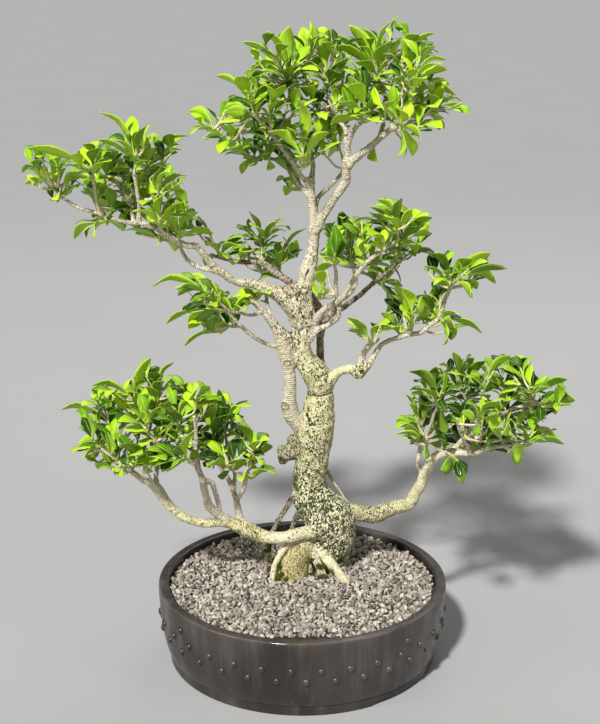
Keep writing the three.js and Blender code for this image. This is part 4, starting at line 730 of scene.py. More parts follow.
def spot(across, down, depth):
    """The point that the eye sees at (across, down) of its view, that far behind the pot's centre."""
    side = (across - VIEW_CENTRE[0]) / EYE_FOCAL
    up = (VIEW_CENTRE[1] - down) / EYE_FOCAL
    forward = math.cos(EYE_PITCH) + up * math.sin(EYE_PITCH)
    rise = up * math.cos(EYE_PITCH) - math.sin(EYE_PITCH)
    reach = (depth - EYE[1]) / forward
    return np.array([EYE[0] + reach * side, depth, EYE[2] + reach * rise])


def seen_at(points):
    """Where the eye sees points: (across, down) in its view."""
    away = np.asarray(points) - EYE
    forward = away[:, 1] * math.cos(EYE_PITCH) - away[:, 2] * math.sin(EYE_PITCH)
    rise = away[:, 1] * math.sin(EYE_PITCH) + away[:, 2] * math.cos(EYE_PITCH)
    across = VIEW_CENTRE[0] + EYE_FOCAL * away[:, 0] / forward
    return np.stack([across, VIEW_CENTRE[1] - EYE_FOCAL * rise / forward], axis=1)


def chance(a, b, salt):
    """A number from 0 to 1 that is always the same for the same three numbers."""
    turn = a * CHANCE_WEIGHTS[0] + b * CHANCE_WEIGHTS[1] + salt * CHANCE_WEIGHTS[2]
    value = math.sin(turn) * CHANCE_SPREAD
    return value - math.floor(value)


def drawn(least, spread, *numbers):
    """A number from least to least + spread, by chance."""
    return least + spread * chance(*numbers)


def swing(*numbers):
    """A number from -1 to 1, by chance."""
    return 2 * chance(*numbers) - 1


def unit(vector):
    """The vector, or each row of vectors, at length 1."""
    vector = np.asarray(vector, float)
    return vector / np.maximum(np.linalg.norm(vector, axis=-1, keepdims=True), TINY)


def distances(points, others):
    """How far each point is from each of the others."""
    return np.linalg.norm(points[:, None] - others[None], axis=2)


def eased(value, low, high):
    """0 below low, 1 above high, and a soft step between."""
    share = np.clip((value - low) / (high - low), 0, 1)
    return share * share * (3 - 2 * share)


# Curves

def at(stations, run, columns):
    """The rows of columns at stations, where run says how far along each row is."""
    return np.stack([np.interp(stations, run, column) for column in columns.T], axis=1)


def spline(points, step):
    """Even samples of the centripetal spline through points, their places among them, and their run."""
    points = np.asarray(points, float)
    guides = np.vstack([2 * points[0] - points[1], points, 2 * points[-1] - points[-2]])
    share = np.linspace(0, 1, SPLINE_SAMPLES)[:, None]
    dense, places = [], []
    for i in range(len(points) - 1):
        a, b, c, d = guides[i:i + 4]
        gaps = [max(np.linalg.norm(q - p), SMALLEST_GAP) ** 0.5 for p, q in ((a, b), (b, c), (c, d))]
        start = (b - a) / gaps[0] - (c - a) / (gaps[0] + gaps[1]) + (c - b) / gaps[1]
        end = (c - b) / gaps[1] - (d - b) / (gaps[1] + gaps[2]) + (d - c) / gaps[2]
        start, end = start * gaps[1], end * gaps[1]
        bent = 2 * (b - c) + start + end
        turn = 3 * (c - b) - 2 * start - end
        dense.append(b + share * start + share ** 2 * turn + share ** 3 * bent)
        places.append(i + share[:, 0])
    dense, places = np.concatenate(dense), np.concatenate(places)
    run = np.concatenate([[0], np.cumsum(np.linalg.norm(np.diff(dense, axis=0), axis=1))])
    stations = np.linspace(0, run[-1], max(2, math.ceil(run[-1] / step)) + 1)
    return at(stations, run, dense), np.interp(stations, run, places), stations


def linked(name, data):
    """A new object in the scene."""
    item = bpy.data.objects.new(name, data)
    bpy.context.scene.collection.objects.link(item)
    return item


def placed(name, mesh, materials):
    """A new object of a mesh with its materials."""
    for material in materials:
        mesh.materials.append(material)
    return linked(name, mesh)


def applied(item):
    """The smooth mesh that an object's modifiers give; the object itself goes."""
    mesh = bpy.data.meshes.new_from_object(item.evaluated_get(bpy.context.evaluated_depsgraph_get()))
    bpy.data.objects.remove(item)
    mesh.polygons.foreach_set("use_smooth", [True] * len(mesh.polygons))
    return mesh


def rows_of(items, key):
    """The three numbers that each of a mesh's items holds, as rows."""
    numbers = np.empty(len(items) * 3)
    items.foreach_get(key, numbers)
    return numbers.reshape(-1, 3)


def add_values(mesh, values):
    """Gives a mesh named numbers for its points."""
    for key, numbers in values.items():
        attribute = mesh.attributes.new(key, "FLOAT", "POINT")
        attribute.data.foreach_set("value", np.asarray(numbers, np.float32))


class Shape:
    """Points, faces and named numbers for each point, gathered from many small shapes."""

    def __init__(self):
        self.points = []
        self.faces = []
        self.values = {}
        self.kinds = []
        self.count = 0

    def add(self, points, faces, kind=0, **values):
        """Adds a shape; kind is its material's place, a value is one number or one for each point."""
        self.points.append(points)
        self.faces += [[corner + self.count for corner in face] for face in faces]
        self.kinds += [kind] * len(faces)
        for key, value in values.items():
            self.values.setdefault(key, []).append(np.broadcast_to(value, len(points)))
        self.count += len(points)

    def to_object(self, name, materials, smooth=True):
        """A Blender object of the shape, in metres."""
        mesh = bpy.data.meshes.new(name)
        mesh.from_pydata((np.concatenate(self.points) * MM).tolist(), [], self.faces)
        add_values(mesh, {key: np.concatenate(parts) for key, parts in self.values.items()})
        mesh.polygons.foreach_set("use_smooth", [smooth] * len(self.faces))
        mesh.polygons.foreach_set("material_index", self.kinds)
        return placed(name, mesh, materials)


def even_turns(sides):
    """Even steps round a circle, in radians."""
    return 2 * math.pi * np.arange(sides) / sides


def ring_numbers(rings, sides):
    """The ring that each point of a tube belongs to; the ends' middle points come last."""
    return np.concatenate([np.repeat(np.arange(rings), sides), [0, rings - 1]])


def ring_faces(rings, sides, turned=False):
    """Faces of rings of points with a middle point at either end, or the same faces turned over."""
    first, last = rings * sides, (rings - 1) * sides
    rim = [(side, (side + 1) % sides) for side in range(sides)]
    faces = [[low + a, low + b, low + sides + b, low + sides + a]
             for low in range(0, last, sides) for a, b in rim]
    for a, b in rim:
        faces += [[b, a, first], [last + a, last + b, first + 1]]
    return [[face[1], face[0], *face[:1:-1]] for face in faces] if turned else faces


def ring_frames(centres):
    """Two directions across a curve at each of its points, which don't twist along it."""
    tangents = unit(np.gradient(centres, axis=0))
    spare = UP if abs(tangents[0][2]) < NEARLY_UPRIGHT else np.array([1.0, 0.0, 0.0])
    side = unit(np.cross(tangents[0], spare))
    sides = []
    for tangent in tangents:
        side = unit(side - tangent * (side @ tangent))
        sides.append(side)
    sides = np.array(sides)
    return sides, np.cross(tangents, sides)


def tube(centres, radii, sides):
    """Points and faces of a closed tube; radii are one for each ring."""
    one, other = ring_frames(centres)
    turns = even_turns(sides)[None, :, None]
    spokes = one[:, None] * np.cos(turns) + other[:, None] * np.sin(turns)
    rings = centres[:, None] + np.reshape(radii, (-1, 1, 1)) * spokes
    return np.vstack([rings.reshape(-1, 3), centres[:1], centres[-1:]]), ring_faces(len(centres), sides)


def ball(radius=1.0, centre=0, rings=8, sides=16):
    """Points and faces of a ball of quads."""
    turns = even_turns(sides)
    rows = [np.stack([math.sqrt(1 - h * h) * np.cos(turns), math.sqrt(1 - h * h) * np.sin(turns),
                      np.full(sides, h)], axis=1)
            for h in np.cos(np.linspace(0, math.pi, rings + 1)[1:-1])]
    points = np.vstack([*rows, [UP], [-UP]]) * radius + centre
    return points, ring_faces(len(rows), sides, turned=True)


def outer_faces(points):
    """The triangles of a regular ball of points, each turned outwards."""
    gaps = distances(points, points)
    edge = EDGE_SLACK * gaps[0, 1:].min()
    faces = []
    for a, b, c in combinations(range(len(points)), 3):
        if max(gaps[a, b], gaps[b, c], gaps[a, c]) < edge:
            outward = np.cross(points[b] - points[a], points[c] - points[a]) @ points[a] > 0
            faces.append([a, b, c] if outward else [a, c, b])
    return faces


# A grain of gravel: a ball of twenty faces
GRAIN_POINTS = unit(
    [(0, one, other * GOLDEN_RATIO) for other in (1, -1) for one in (1, -1)]
    + [(one, other * GOLDEN_RATIO, 0) for other in (1, -1) for one in (1, -1)]
    + [(other * GOLDEN_RATIO, 0, one) for other in (1, -1) for one in (1, -1)]
)
GRAIN_FACES = outer_faces(GRAIN_POINTS)


# Materials

class Wire:
    """A node's output, which can be added, subtracted and multiplied like a number."""

    def __init__(self, surface, socket):
        self.surface = surface
        self.socket = socket

    def function(self, operation, other=0.0):
        """A function of this number, or of this one and another."""
        return self.surface.node("Math", 0, {0: self, 1: other}, operation=operation)

    def __add__(self, other):
        return self.function("ADD", other)

    def __sub__(self, other):
        return self.function("SUBTRACT", other)

    def __mul__(self, other):
        return self.function("MULTIPLY", other)

    def __abs__(self):
        return self.function("ABSOLUTE")

    def step(self, low, high, start=0.0, end=1.0):
        """A soft step from start to end as this number goes from low to high."""
        inputs = dict(enumerate((self, low, high, start, end)))
        return self.surface.node("MapRange", 0, inputs, interpolation_type="SMOOTHSTEP")


class Surface:
    """A procedural material: its nodes are added with their inputs and wired to the shader."""

    def __init__(self, name, **constants):
        self.material = bpy.data.materials.new(name)
        self.material.use_nodes = True
        self.tree = self.material.node_tree
        self.tree.nodes.clear()
        output = self.tree.nodes.new("ShaderNodeOutputMaterial")
        self.shader = self.tree.nodes.new("ShaderNodeBsdfPrincipled")
        self.tree.links.new(self.shader.outputs["BSDF"], output.inputs["Surface"])
        self.wear(**constants)

    def set(self, socket, value):
        """Gives an input a number, a colour or another node's output."""
        if isinstance(value, Wire):
            self.tree.links.new(value.socket, socket)
        elif socket.type == "RGBA":
            socket.default_value = (*value, 1)
        else:
            socket.default_value = value

    def wear(self, **inputs):
        """Sets or wires inputs of the shader."""
        for key, value in inputs.items():
            self.set(self.shader.inputs[key.replace("_", " ")], value)
        return self

    def node(self, kind, output, inputs, **settings):
        """Adds a node, and gives one of its outputs."""
        node = self.tree.nodes.new("ShaderNode" + kind)
        for key, value in settings.items():
            setattr(node, key, value)
        for key, value in inputs.items():
            self.set(node.inputs[key], value)
        return Wire(self, node.outputs[output])

    def values(self, *names):
        """The numbers that the mesh holds for each of its points under those names."""
        return [self.node("Attribute", "Fac", {}, attribute_name=name) for name in names]

    def place(self, squash):
        """The point's place in the object, its height squashed."""
        where = self.node("TexCoord", "Object", {})
        return self.node("Mapping", "Vector", {"Vector": where, "Scale": (1.0, 1.0, squash)})

    def noise(self, scale, detail=2.0, distortion=0.0, roughness=0.5, squash=1.0):
        """Soft noise, from 0 to 1, with that many features to the metre."""
        return self.node("TexNoise", "Fac", {"Vector": self.place(squash), "Scale": scale, "Detail": detail,
                                             "Distortion": distortion, "Roughness": roughness})

    def cells(self, scale):
        """How far a point is from the nearest of the cells' centres."""
        return self.node("TexVoronoi", "Distance", {"Vector": self.place(1.0), "Scale": scale})

    def mix(self, share, first, second):
        """A colour between two."""
        return self.node("Mix", 2, {"Factor": share, 6: first, 7: second}, data_type="RGBA")

    def layered(self, colour, *layers):
        """A colour with others laid over it in turn, each as (its share, the colour)."""
        for share, over in layers:
            colour = self.mix(share, colour, over)
        return colour

    def ramp(self, value, *stops):
        """A colour for each value, from (place, colour) stops."""
        ramp = self.node("ValToRGB", "Color", {"Fac": value})
        elements = ramp.socket.node.color_ramp.elements
        elements[0].position = stops[0][0]
        elements[1].position = stops[-1][0]
        for place, _ in stops[1:-1]:
            elements.new(place)
        for element, (_, colour) in zip(elements, stops):
            element.color = (*colour, 1)
        return ramp

    def bump(self, height, depth, strength=1.0):
        """Fine relief, depth in metres."""
        relief = self.node("Bump", "Normal", {"Height": height, "Distance": depth, "Strength": strength})
        return self.wear(Normal=relief)


def leaf_material():
    """Waxy leaf: young leaves are yellow-green, old ones dark; paler rib, veins and underside."""
    leaf = Surface("leaf", Specular_IOR_Level=0.14, Coat_Weight=0.17, Coat_Roughness=0.14)
    tint, across, along, under = leaf.values("tint", "across", "along", "under")
    aside = abs(across)
    vein = abs(((along * 9.0 - aside * 1.7) * math.pi).function("SINE")).step(0.0, 0.22, 1.0, 0.0)
    rib = aside.step(0.03, 0.12, 1.0, 0.0)
    age = leaf.ramp(tint + (leaf.noise(90, 3) - 0.5) * 0.28, *LEAF_AGES)
    colour = leaf.layered(
        age,
        (vein * 0.12, LEAF_VEIN),
        (rib * tint.step(0.1, 0.7, 0.26, 0.62), LEAF_RIB),
        (aside.step(0.88, 1.0, 0.0, 0.32), LEAF_EDGE),
        (along.step(0.06, 0.17, 1.0, 0.0) * 0.85, LEAF_STALK),
        (under * 0.45, LEAF_UNDERSIDE),
    )
    leaf.wear(Base_Color=colour, Roughness=under.step(0.0, 1.0, 0.36, 0.55))
    return leaf.bump(vein * 0.35 + rib * -1.0, 0.0004, 0.5).material


def shoot_material():
    """Young shoots: beige-brown bark at the wood, yellow-green towards the tip."""
    shoot = Surface("shoot", Roughness=0.6)
    [young] = shoot.values("young")
    grain = shoot.noise(420, 3)
    skin = shoot.ramp(young, *SHOOT_AGES)
    shoot.wear(Base_Color=shoot.mix(grain.step(0.40, 0.60, 0.5, 0.0), skin, SHOOT_GRAIN))
    return shoot.bump(grain, 0.0004, 0.6).material


def bark_material():
    """Old smooth bark: cream to grey-beige, speckled dark where it is old, with growth rings and moss."""
    bark = Surface("bark", Roughness=0.85, Specular_IOR_Level=0.2)
    speckle, yellow, brown, ring = bark.values("speckle", "yellow", "brown", "ring")
    run, scar, dark, moss = bark.values("run", "scar", "dark", "moss")
    broad = bark.noise(38, 4)
    fine = bark.noise(520, 3, 0.3)
    worm = bark.noise(460, 2, 1.0, squash=0.6)
    swirl = bark.noise(265, 1, 0.7, squash=0.7)

    # Ground colour, greener where the bark is old, its olive patches and the dirt in its pores
    old_cream = bark.mix(speckle.step(0.7, 1.0), YELLOW_CREAM, GREEN_CREAM)
    cream = bark.mix(yellow, BEIGE_CREAM, old_cream)
    patch = bark.noise(125, 3, 0.6).step(0.5, 0.66) * yellow
    stained = fine.step(0.42, 0.55, 1.0, 0.0) * brown.step(0.0, 0.32, 0.34, 0.8)
    dirt = bark.mix(yellow, BROWN_DIRT, OLIVE_DIRT)

    # Dark marks, winding on the oldest bark, with an olive halo round them
    old = speckle.step(0.6, 0.9)
    maze = abs(swirl - 0.5) * 2.6 + 0.335
    level = speckle * 0.235 + 0.295 + (broad - 0.5) * 0.22
    depth = level - (worm + old * (maze - worm))
    halo = depth.step(-0.07, 0.0, 0.0, 0.6) * (yellow * old)
    mark = depth.step(-0.018, 0.014) * speckle.step(0.0, 0.5, 0.5, 0.95)
    mark_colour = bark.mix(yellow, BROWN_MARK, GREEN_MARK)

    # Growth rings, pale flakes, healed scars, painted shade in the creases, the tie's groove and the
    # hollows, and moss
    wave = (run * 2.3 + bark.noise(120, 2) * 6.0).function("SINE")
    line = wave.step(0.35, 0.9) * (ring * worm.step(0.36, 0.52))
    flake = brown * worm.step(0.5, 0.56)
    healed = bark.ramp(scar, *SCAR_SHADES)
    painted_shade = dark - fine * 0.45
    cover = moss + worm * 0.9
    green = bark.ramp(bark.noise(600, 3), *BARK_MOSS)
    colour = bark.layered(
        cream,
        (yellow.step(1.0, 1.7), OCHRE_ROOT),
        (brown.step(0.35, 0.9), BROWN_BARK),
        (broad.step(0.35, 0.62, 0.3, 0.0), OLIVE_CLOUD),
        (patch * 0.6, OLIVE_PATCH),
        (stained, dirt),
        (halo, MARK_HALO),
        (mark, mark_colour),
        (line * 0.82, RING_LINE),
        (flake * 0.85, PALE_FLAKE),
        (scar.step(0.05, 0.28), healed),
        (painted_shade.step(0.0, 0.5, 0.0, 0.92), HOLLOW_SHADE),
        (cover.step(0.78, 1.0, 0.0, 0.9), green),
    )
    bark.wear(Base_Color=colour)
    return bark.bump(mark * -0.8 + fine * 1.2 - line * 0.8, 0.0013, 0.95).material


def gravel_material():
    """Crushed stone: taupe grains, each of its own shade."""
    gravel = Surface("gravel", Roughness=0.93, Specular_IOR_Level=0.2)
    [shade] = gravel.values("shade")
    grit = gravel.noise(700, 3)
    stone = gravel.ramp(shade, *STONE_SHADES)
    gravel.wear(Base_Color=gravel.mix(grit.step(0.3, 0.7, 0.4, 0.0), stone, STONE_GRIT))
    return gravel.bump(grit, 0.0005, 0.7).material


def soil_material():
    """What shows between the grains: dark crumbs, darkened further as painted shade in the gaps between the
    grains.
    """
    soil = Surface("soil", Roughness=0.97, Specular_IOR_Level=0.1)
    crumb = soil.noise(260, 5)
    soil.wear(Base_Color=soil.ramp(crumb, *SOIL_WITH_GAP_SHADE))
    return soil.bump(crumb, 0.002).material


def pot_material():
    """Dark mica-like body: brown-black and satin, with painted sheen as broad pale patches and as streaks
    that are partly dust, painted glints, and edges lightened partly by wear and partly as painted highlight.
    """
    pot = Surface("pot", Specular_IOR_Level=0.55)
    [edge] = pot.values("edge")
    cloud = pot.noise(16, 4, 0.5)
    dust_and_sheen = pot.noise(34, 5, 0.2, 0.65, squash=0.1)
    painted_glint = pot.cells(1100).step(0.0, 0.2, 1.0, 0.0)
    glinting = pot.noise(300, 1).step(0.56, 0.62)
    colour = pot.layered(
        pot.mix(cloud, *POT_SHADES),
        # broad pale patches: painted satin sheen
        (pot.noise(7, 2).step(0.42, 0.62, 0.0, 0.55), POT_PAINTED_SHEEN),
        # vertical streaks: partly dust, partly painted sheen
        (dust_and_sheen.step(0.44, 0.78) * pot.noise(9, 2).step(0.4, 0.6, 0.35, 1.0), POT_DUST_AND_SHEEN),
        # tiny bright specks: painted glints
        (painted_glint * (glinting * 0.6), POT_PAINTED_GLINT),
        # lightened edges and stud crowns: partly wear, partly painted highlight
        (edge * cloud.step(0.3, 0.7, 0.3, 0.8), POT_WEAR_AND_HIGHLIGHT),
    )
    pot.wear(Base_Color=colour, Roughness=pot.noise(75, 5).step(0.3, 0.75, 0.27, 0.46) - edge * 0.3)
    return pot.bump(pot.noise(170, 4), 0.0006, 0.35).material


def moss_material():
    """Cushions of moss, dark at heart and bright at the tips."""
    moss = Surface("moss", Roughness=0.95, Specular_IOR_Level=0.1)
    [tip] = moss.values("tip")
    return moss.wear(Base_Color=moss.ramp(tip + (moss.noise(220) - 0.5) * 0.6, *MOSS_SHADES)).material


def floor_material():
    """Pale matt floor."""
    floor = Surface("floor", Roughness=0.85, Specular_IOR_Level=0.2)
    return floor.wear(Base_Color=floor.mix(floor.noise(3, 3), *FLOOR_SHADES)).material


LEAF = leaf_material()
SHOOT = shoot_material()
BARK = bark_material()
GRAVEL = gravel_material()
SOIL = soil_material()
POT = pot_material()
MOSS = moss_material()


# Wood

def route_samples(name):
    """A route's even samples: centres, radii and how far along it they are."""
    route = ROUTES[name]
    centres, places, run = spline([spot(*point[:3]) for point in route], ROUTE_STEP)
    radii = np.interp(places, np.arange(len(route)), [point[3] for point in route])
    return centres, radii, run


def crumple(points, size):
    """Soft noise from -1 to 1 at points, with features of that size."""
    return np.array([noise.noise(Vector(point / size)) for point in points])


def crumples(points, layers):
    """A sum of soft noises at points, each as (height, size of its features)."""
    return sum(height * crumple(points, size) for height, size in layers)


def wood_skin(samples):
    """One skin around the thick wood and its lumps, its creases eased."""
    shape = Shape()
    for name, (centres, radii, run) in samples.items():
        thick = radii >= THIN_WOOD
        end = len(radii) if thick.all() else int(np.argmin(thick)) + SKIN_OVERLAP
        if end >= SHORTEST_SKIN:
            collar = COLLAR * np.exp(-(run[:end] / (COLLAR_REACH * radii[0])) ** 2) * (name != "trunk")
            shape.add(*tube(centres[:end], radii[:end] * (SKIN_SWELL + collar), SKIN_SIDES))
        if thick.all():
            shape.add(*ball(radii[-1] * SKIN_SWELL, centres[-1]))
    for across, down, depth, size, _ in LUMPS:
        shape.add(*ball(size, spot(across, down, depth)))
    rough = shape.to_object("rough_wood", [])
    remesh = rough.modifiers.new("skin", "REMESH")
    remesh.mode = "VOXEL"
    remesh.voxel_size = SKIN_VOXEL * MM
    ease = rough.modifiers.new("ease", "SMOOTH")
    ease.factor = SKIN_EASE
    ease.iterations = SKIN_SMOOTHING
    return applied(rough)


def style_of(name, shares):
    """The bark's speckle, yellow, brown and ring numbers at shares of a route's length."""
    stops = np.array(BARK_STYLES.get(name, PLAIN_BARK))
    return at(shares, stops[:, 0], stops[:, 1:])


def nearest_wood(points, samples):
    """For each point: its bark style, how far along its route it is, the route's radius and its number."""
    centres, radii, runs = (np.concatenate(parts) for parts in zip(*samples.values()))
    tangents = np.concatenate([unit(np.gradient(sample[0], axis=0)) for sample in samples.values()])
    styles = np.concatenate([style_of(name, run / run[-1]) for name, (_, _, run) in samples.items()])
    order = np.concatenate([np.full(len(sample[1]), i) for i, sample in enumerate(samples.values())])
    blended, nearest = [], []
    for start in range(0, len(points), CHUNK):
        chunk = points[start:start + CHUNK]
        spread = (chunk ** 2).sum(1)[:, None] + (centres ** 2).sum(1)[None, :] - 2 * chunk @ centres.T
        off = np.abs(np.sqrt(np.maximum(spread, 0)) - radii[None, :])
        weights = np.exp(-(off / STYLE_BLUR) ** 2) + TINY
        blended.append(weights @ styles / weights.sum(1, keepdims=True))
        nearest.append(np.argmin(off, axis=1))
    nearest = np.concatenate(nearest)
    runs = runs[nearest] + ((points - centres[nearest]) * tangents[nearest]).sum(1)
    return np.concatenate(blended), runs, radii[nearest], order[nearest]


def seen_on(tree, across, down):
    """The place on a surface that the eye sees at (across, down) of its view, or None."""
    toward = Vector(unit(spot(across, down, 0) - EYE))
    place = tree.ray_cast(Vector(EYE * MM), toward)[0]
    return None if place is None else np.array(place) / MM


def near_marks(points, tree, marks):
    """How near each point is to seen marks (across, down, radius in pixels): 1 at a mark, 0 at its edge."""
    share = np.zeros(len(points))
    for across, down, radius in marks:
        place = seen_on(tree, across, down)
        if place is not None:
            off = np.linalg.norm(points - place, axis=1) / (radius * VIEW_STEP)
            share = np.maximum(share, 1 - np.clip(off, 0, 1))
    return share


def near_lines(points, tree, lines):
    """How near each point is to lines that the eye sees on the bark: 1 on a line, 0 well off it."""
    share = np.zeros(len(points))
    for start, end in (ends for line in lines for ends in zip(line, line[1:])):
        steps = max(2, int(math.hypot(end[0] - start[0], end[1] - start[1])))
        for part in np.linspace(0, 1, steps + 1):
            place = seen_on(tree, *(np.array(start) * (1 - part) + np.array(end) * part))
            if place is not None:
                share = np.maximum(share, np.exp(-((points - place) ** 2).sum(1) / CREVICE_WIDTH ** 2))
    return share


def bark_relief(points, values, radii, on_lump, groove, hole):
    """How far the bark rises above the skin at each point."""
    bulk = np.clip(radii / FULL_RELIEF_RADIUS, LEAST_RELIEF, 1)
    rise = bulk * crumples(points, BROAD_RELIEF) + crumples(points, FINE_RELIEF)
    rise += on_lump * crumples(points, LUMP_RELIEF)
    rise += OLD_RISE * eased(values["speckle"], *OLD_SPECKLE) * crumple(points, OLD_SIZE)
    ring_turns = values["run"] / RING_SPACING + RING_WANDER * crumple(points, RING_WANDER_SIZE)
    rise += RING_RISE * values["ring"] * np.sin(2 * math.pi * ring_turns)
    rise -= GROOVE_DEPTH * groove
    rim = np.sin(np.clip(values["scar"] * SCAR_RIM_SHARPNESS, 0, 1) * math.pi)
    rise += SCAR_RIM * rim - SCAR_DEPTH * eased(values["scar"], *SCAR_BOWL)
    return rise - HOLE_DEPTH * eased(hole, *HOLE_BOWL)


def make_wood(samples):
    """Trunk, roots and thick branches as one skin, and the thin ends of the branches as tubes."""
    mesh = wood_skin(samples)
    points = rows_of(mesh.vertices, "co") / MM
    normals = rows_of(mesh.vertex_normals, "vector")
    tree = BVHTree.FromPolygons((points * MM).tolist(), [list(face.vertices) for face in mesh.polygons])
    styles, runs, radii, order = nearest_wood(points, samples)
    on_lump = np.zeros(len(points))
    for across, down, depth, size, style in LUMPS:
        off = np.linalg.norm(points - spot(across, down, depth), axis=1)
        share = 1 - eased(off, size, size + LUMP_FADE)
        styles = styles + share[:, None] * (np.array(style) - styles)
        on_lump = np.maximum(on_lump, share * (size < TOP_OF_LUMPS))
    breaks = CREVICE_DEPTH[0] + CREVICE_DEPTH[1] * crumple(points, CREVICE_BREAKS)
    groove = near_lines(points, tree, CREVICES) * np.clip(breaks, 0, 1)
    centre = spot(*GIRDLE)
    level = points[:, 2] - centre[2] - GIRDLE_TILT * (points[:, 0] - centre[0])
    on_trunk = order == list(samples).index("trunk")
    groove = np.maximum(groove, np.exp(-(level / GIRDLE_WIDTH) ** 2) * on_trunk)
    hole = near_marks(points, tree, HOLES)
    # dark is the painted shade in the creases, the tie's groove and the holes
    values = dict(zip(("speckle", "yellow", "brown", "ring"), styles.T), run=runs,
                  moss=near_marks(points, tree, MOSS_MARKS), scar=near_marks(points, tree, SCARS),
                  dark=np.maximum(groove, eased(hole, *HOLE_SHADE)))
    rise = bark_relief(points, values, radii, on_lump, groove, hole)
    mesh.vertices.foreach_set("co", ((points + normals * rise[:, None]) * MM).ravel())
    add_values(mesh, values)
    mesh.update()
    skin = placed("wood_old", mesh, [BARK])
    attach(skin, "root")
    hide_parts("tree_wood")

    thin = Shape()
    for name in samples:
        add_thin_wood(thin, name, samples[name])
    twigs = thin.to_object("wood_young", [BARK])
    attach(twigs, "root")
    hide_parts("tree_wood")
    return tree


def add_thin_wood(shape, name, sample):
    """The end of a route that is too thin for the skin, with its knots and rings."""
    centres, radii, run = sample
    thin = np.nonzero(radii < THIN_WOOD)[0]
    if len(thin) == 0:
        return
    first = max(0, int(thin[0]) - THIN_OVERLAP)
    finer = np.arange(run[first], run[-1] + RUN_SLACK, THIN_STEP)
    centres = at(finer, run[first:], centres[first:])
    radii = np.interp(finer, run[first:], radii[first:])
    if first == 0:
        radii = radii * (1 + THIN_COLLAR * np.exp(-(finer - finer[0]) / (2 * radii[0])))
    knots = np.sin(2 * math.pi * (finer / KNOT_SPACING + chance(len(name), len(centres), 3)))
    radii = radii * (1 + KNOT_RISE * np.clip(knots - KNOT_LEVEL, 0, 1) / (1 - KNOT_LEVEL))
    wander = np.stack([crumple(centres + WANDER_APART * k, THIN_WANDER_SIZE) for k in range(3)], axis=1)
    centres = centres + THIN_WANDER * wander * eased(finer, finer[0], finer[0] + THIN_WANDER_START)[:, None]
    points, faces = tube(centres, radii, THIN_SIDES)
    owner = ring_numbers(len(centres), THIN_SIDES)
    outward = unit(points - centres[owner])
    outward[-2:] = 0
    points = points + outward * (crumples(points, THIN_RELIEF) * radii[owner])[:, None]
    speckle, yellow, brown, ring = style_of(name, finer / run[-1])[owner].T
    shape.add(points, faces, speckle=speckle, yellow=yellow, brown=brown, ring=ring, run=finer[owner],
              moss=0, scar=0, dark=0)


# Shoots and leaves

def shoot_start(lines, goal, taken):
    """Where a shoot leaves the wood: near, growing towards the shoot, and away from other shoots' starts."""
    best = None
    for points in lines:
        length = spline(points, ROUTE_PROBE)[2][-1]
        centres = spline(points, length / max(math.ceil(length / ROUTE_PROBE), 1))[0]
        tangents = unit(np.gradient(centres, axis=0))
        away = goal - centres
        cost = np.linalg.norm(away, axis=1) - GROWTH_BIAS * (away * tangents).sum(1)
        for start in taken:
            cost = cost + SHOOT_DETOUR * (np.linalg.norm(centres - start, axis=1) < SHOOT_SPACING)
        nearest = int(np.argmin(cost))
        if best is None or cost[nearest] < best[0]:
            best = (cost[nearest], centres[nearest])
    return best[1]


def shoot_points(base, tip, lines, taken):
    """The points of a shoot, from the wood or from the spray's first shoot."""
    start = shoot_start(lines, base, taken)
    gap = np.linalg.norm(base - start)
    points = [start]
    if gap > BENT_SHOOT_LENGTH:
        points.append((start + base) / 2 - UP * SHOOT_SAG * gap)
    if gap > SHORTEST_SHOOT:
        points.append(base)
    return np.array([*points, tip])


def add_shoot(shape, points):
    """A shoot that tapers and greens towards its bud."""
    centres, _, run = spline(points, SHOOT_STEP)
    radii = SHOOT_RADIUS + (SHOOT_TIP_RADIUS - SHOOT_RADIUS) * (run / run[-1])
    radii = radii * (1 + NODE_RISE * np.clip(np.sin(2 * math.pi * run / NODE_SPACING), 0, 1))
    radii[0] *= SHOOT_COLLAR
    young = 1 - np.clip((run[-1] - run) / YOUNG_LENGTH, 0, 1)
    shape.add(*tube(centres, radii, SHOOT_SIDES), 1, young=young[ring_numbers(len(centres), SHOOT_SIDES)],
              tint=0, across=0, along=0, under=0)
    heading = unit(centres[-1] - centres[-2])
    bud = centres[-1] + heading[None, :] * np.linspace(0, BUD_LENGTH, len(BUD_OUTLINE))[:, None]
    shape.add(*tube(bud, SHOOT_TIP_RADIUS * np.array(BUD_OUTLINE), SHOOT_SIDES), 1, young=1,
              tint=0, across=0, along=0, under=0)


def leaf_ends(base, top, leaf, order, bend):
    """A traced leaf's foot on its shoot, and its tip, bent back or forth."""
    across, down = leaf[:2]
    run = top - base
    length = np.linalg.norm(run)
    level = spot(across, down, top[1]) - base
    along = (level @ run / length - LEAF_LENGTH / 2) / length
    foot = base + run * np.clip(along, *LEAF_RANGE)
    flat = np.linalg.norm(spot(across, down, foot[1]) - foot)
    full = LEAF_LENGTH * (1 + LEAF_LENGTH_SPREAD * swing(across, down, 2))
    depth = min(math.sqrt(max(full ** 2 - flat ** 2, 0)), DEEPEST_LEAN * full)
    side = -1 if order % 2 == 0 else 1
    return foot, spot(across, down, foot[1] + side * depth + bend)


def leaf_facing(foot, tip, breadth):
    """The side that a traced leaf turns up to look as broad as it does to the eye, and its width."""
    axis = unit(tip - foot)
    across = unit(np.cross(axis, unit(foot - EYE)))
    facing = unit(np.cross(across, axis))
    width = LEAF_WIDTH_RATIO * min(np.linalg.norm(tip - foot), BROADEST_LEAF_LENGTH)
    roll = math.acos(np.clip(breadth * VIEW_STEP / width, SLIMMEST_VIEW, 1))
    turned = [facing * math.cos(roll) + side * across * math.sin(roll) for side in (1, -1)]
    normal = max(turned, key=lambda direction: direction[2])
    return (normal if normal[2] >= 0 else -normal), width


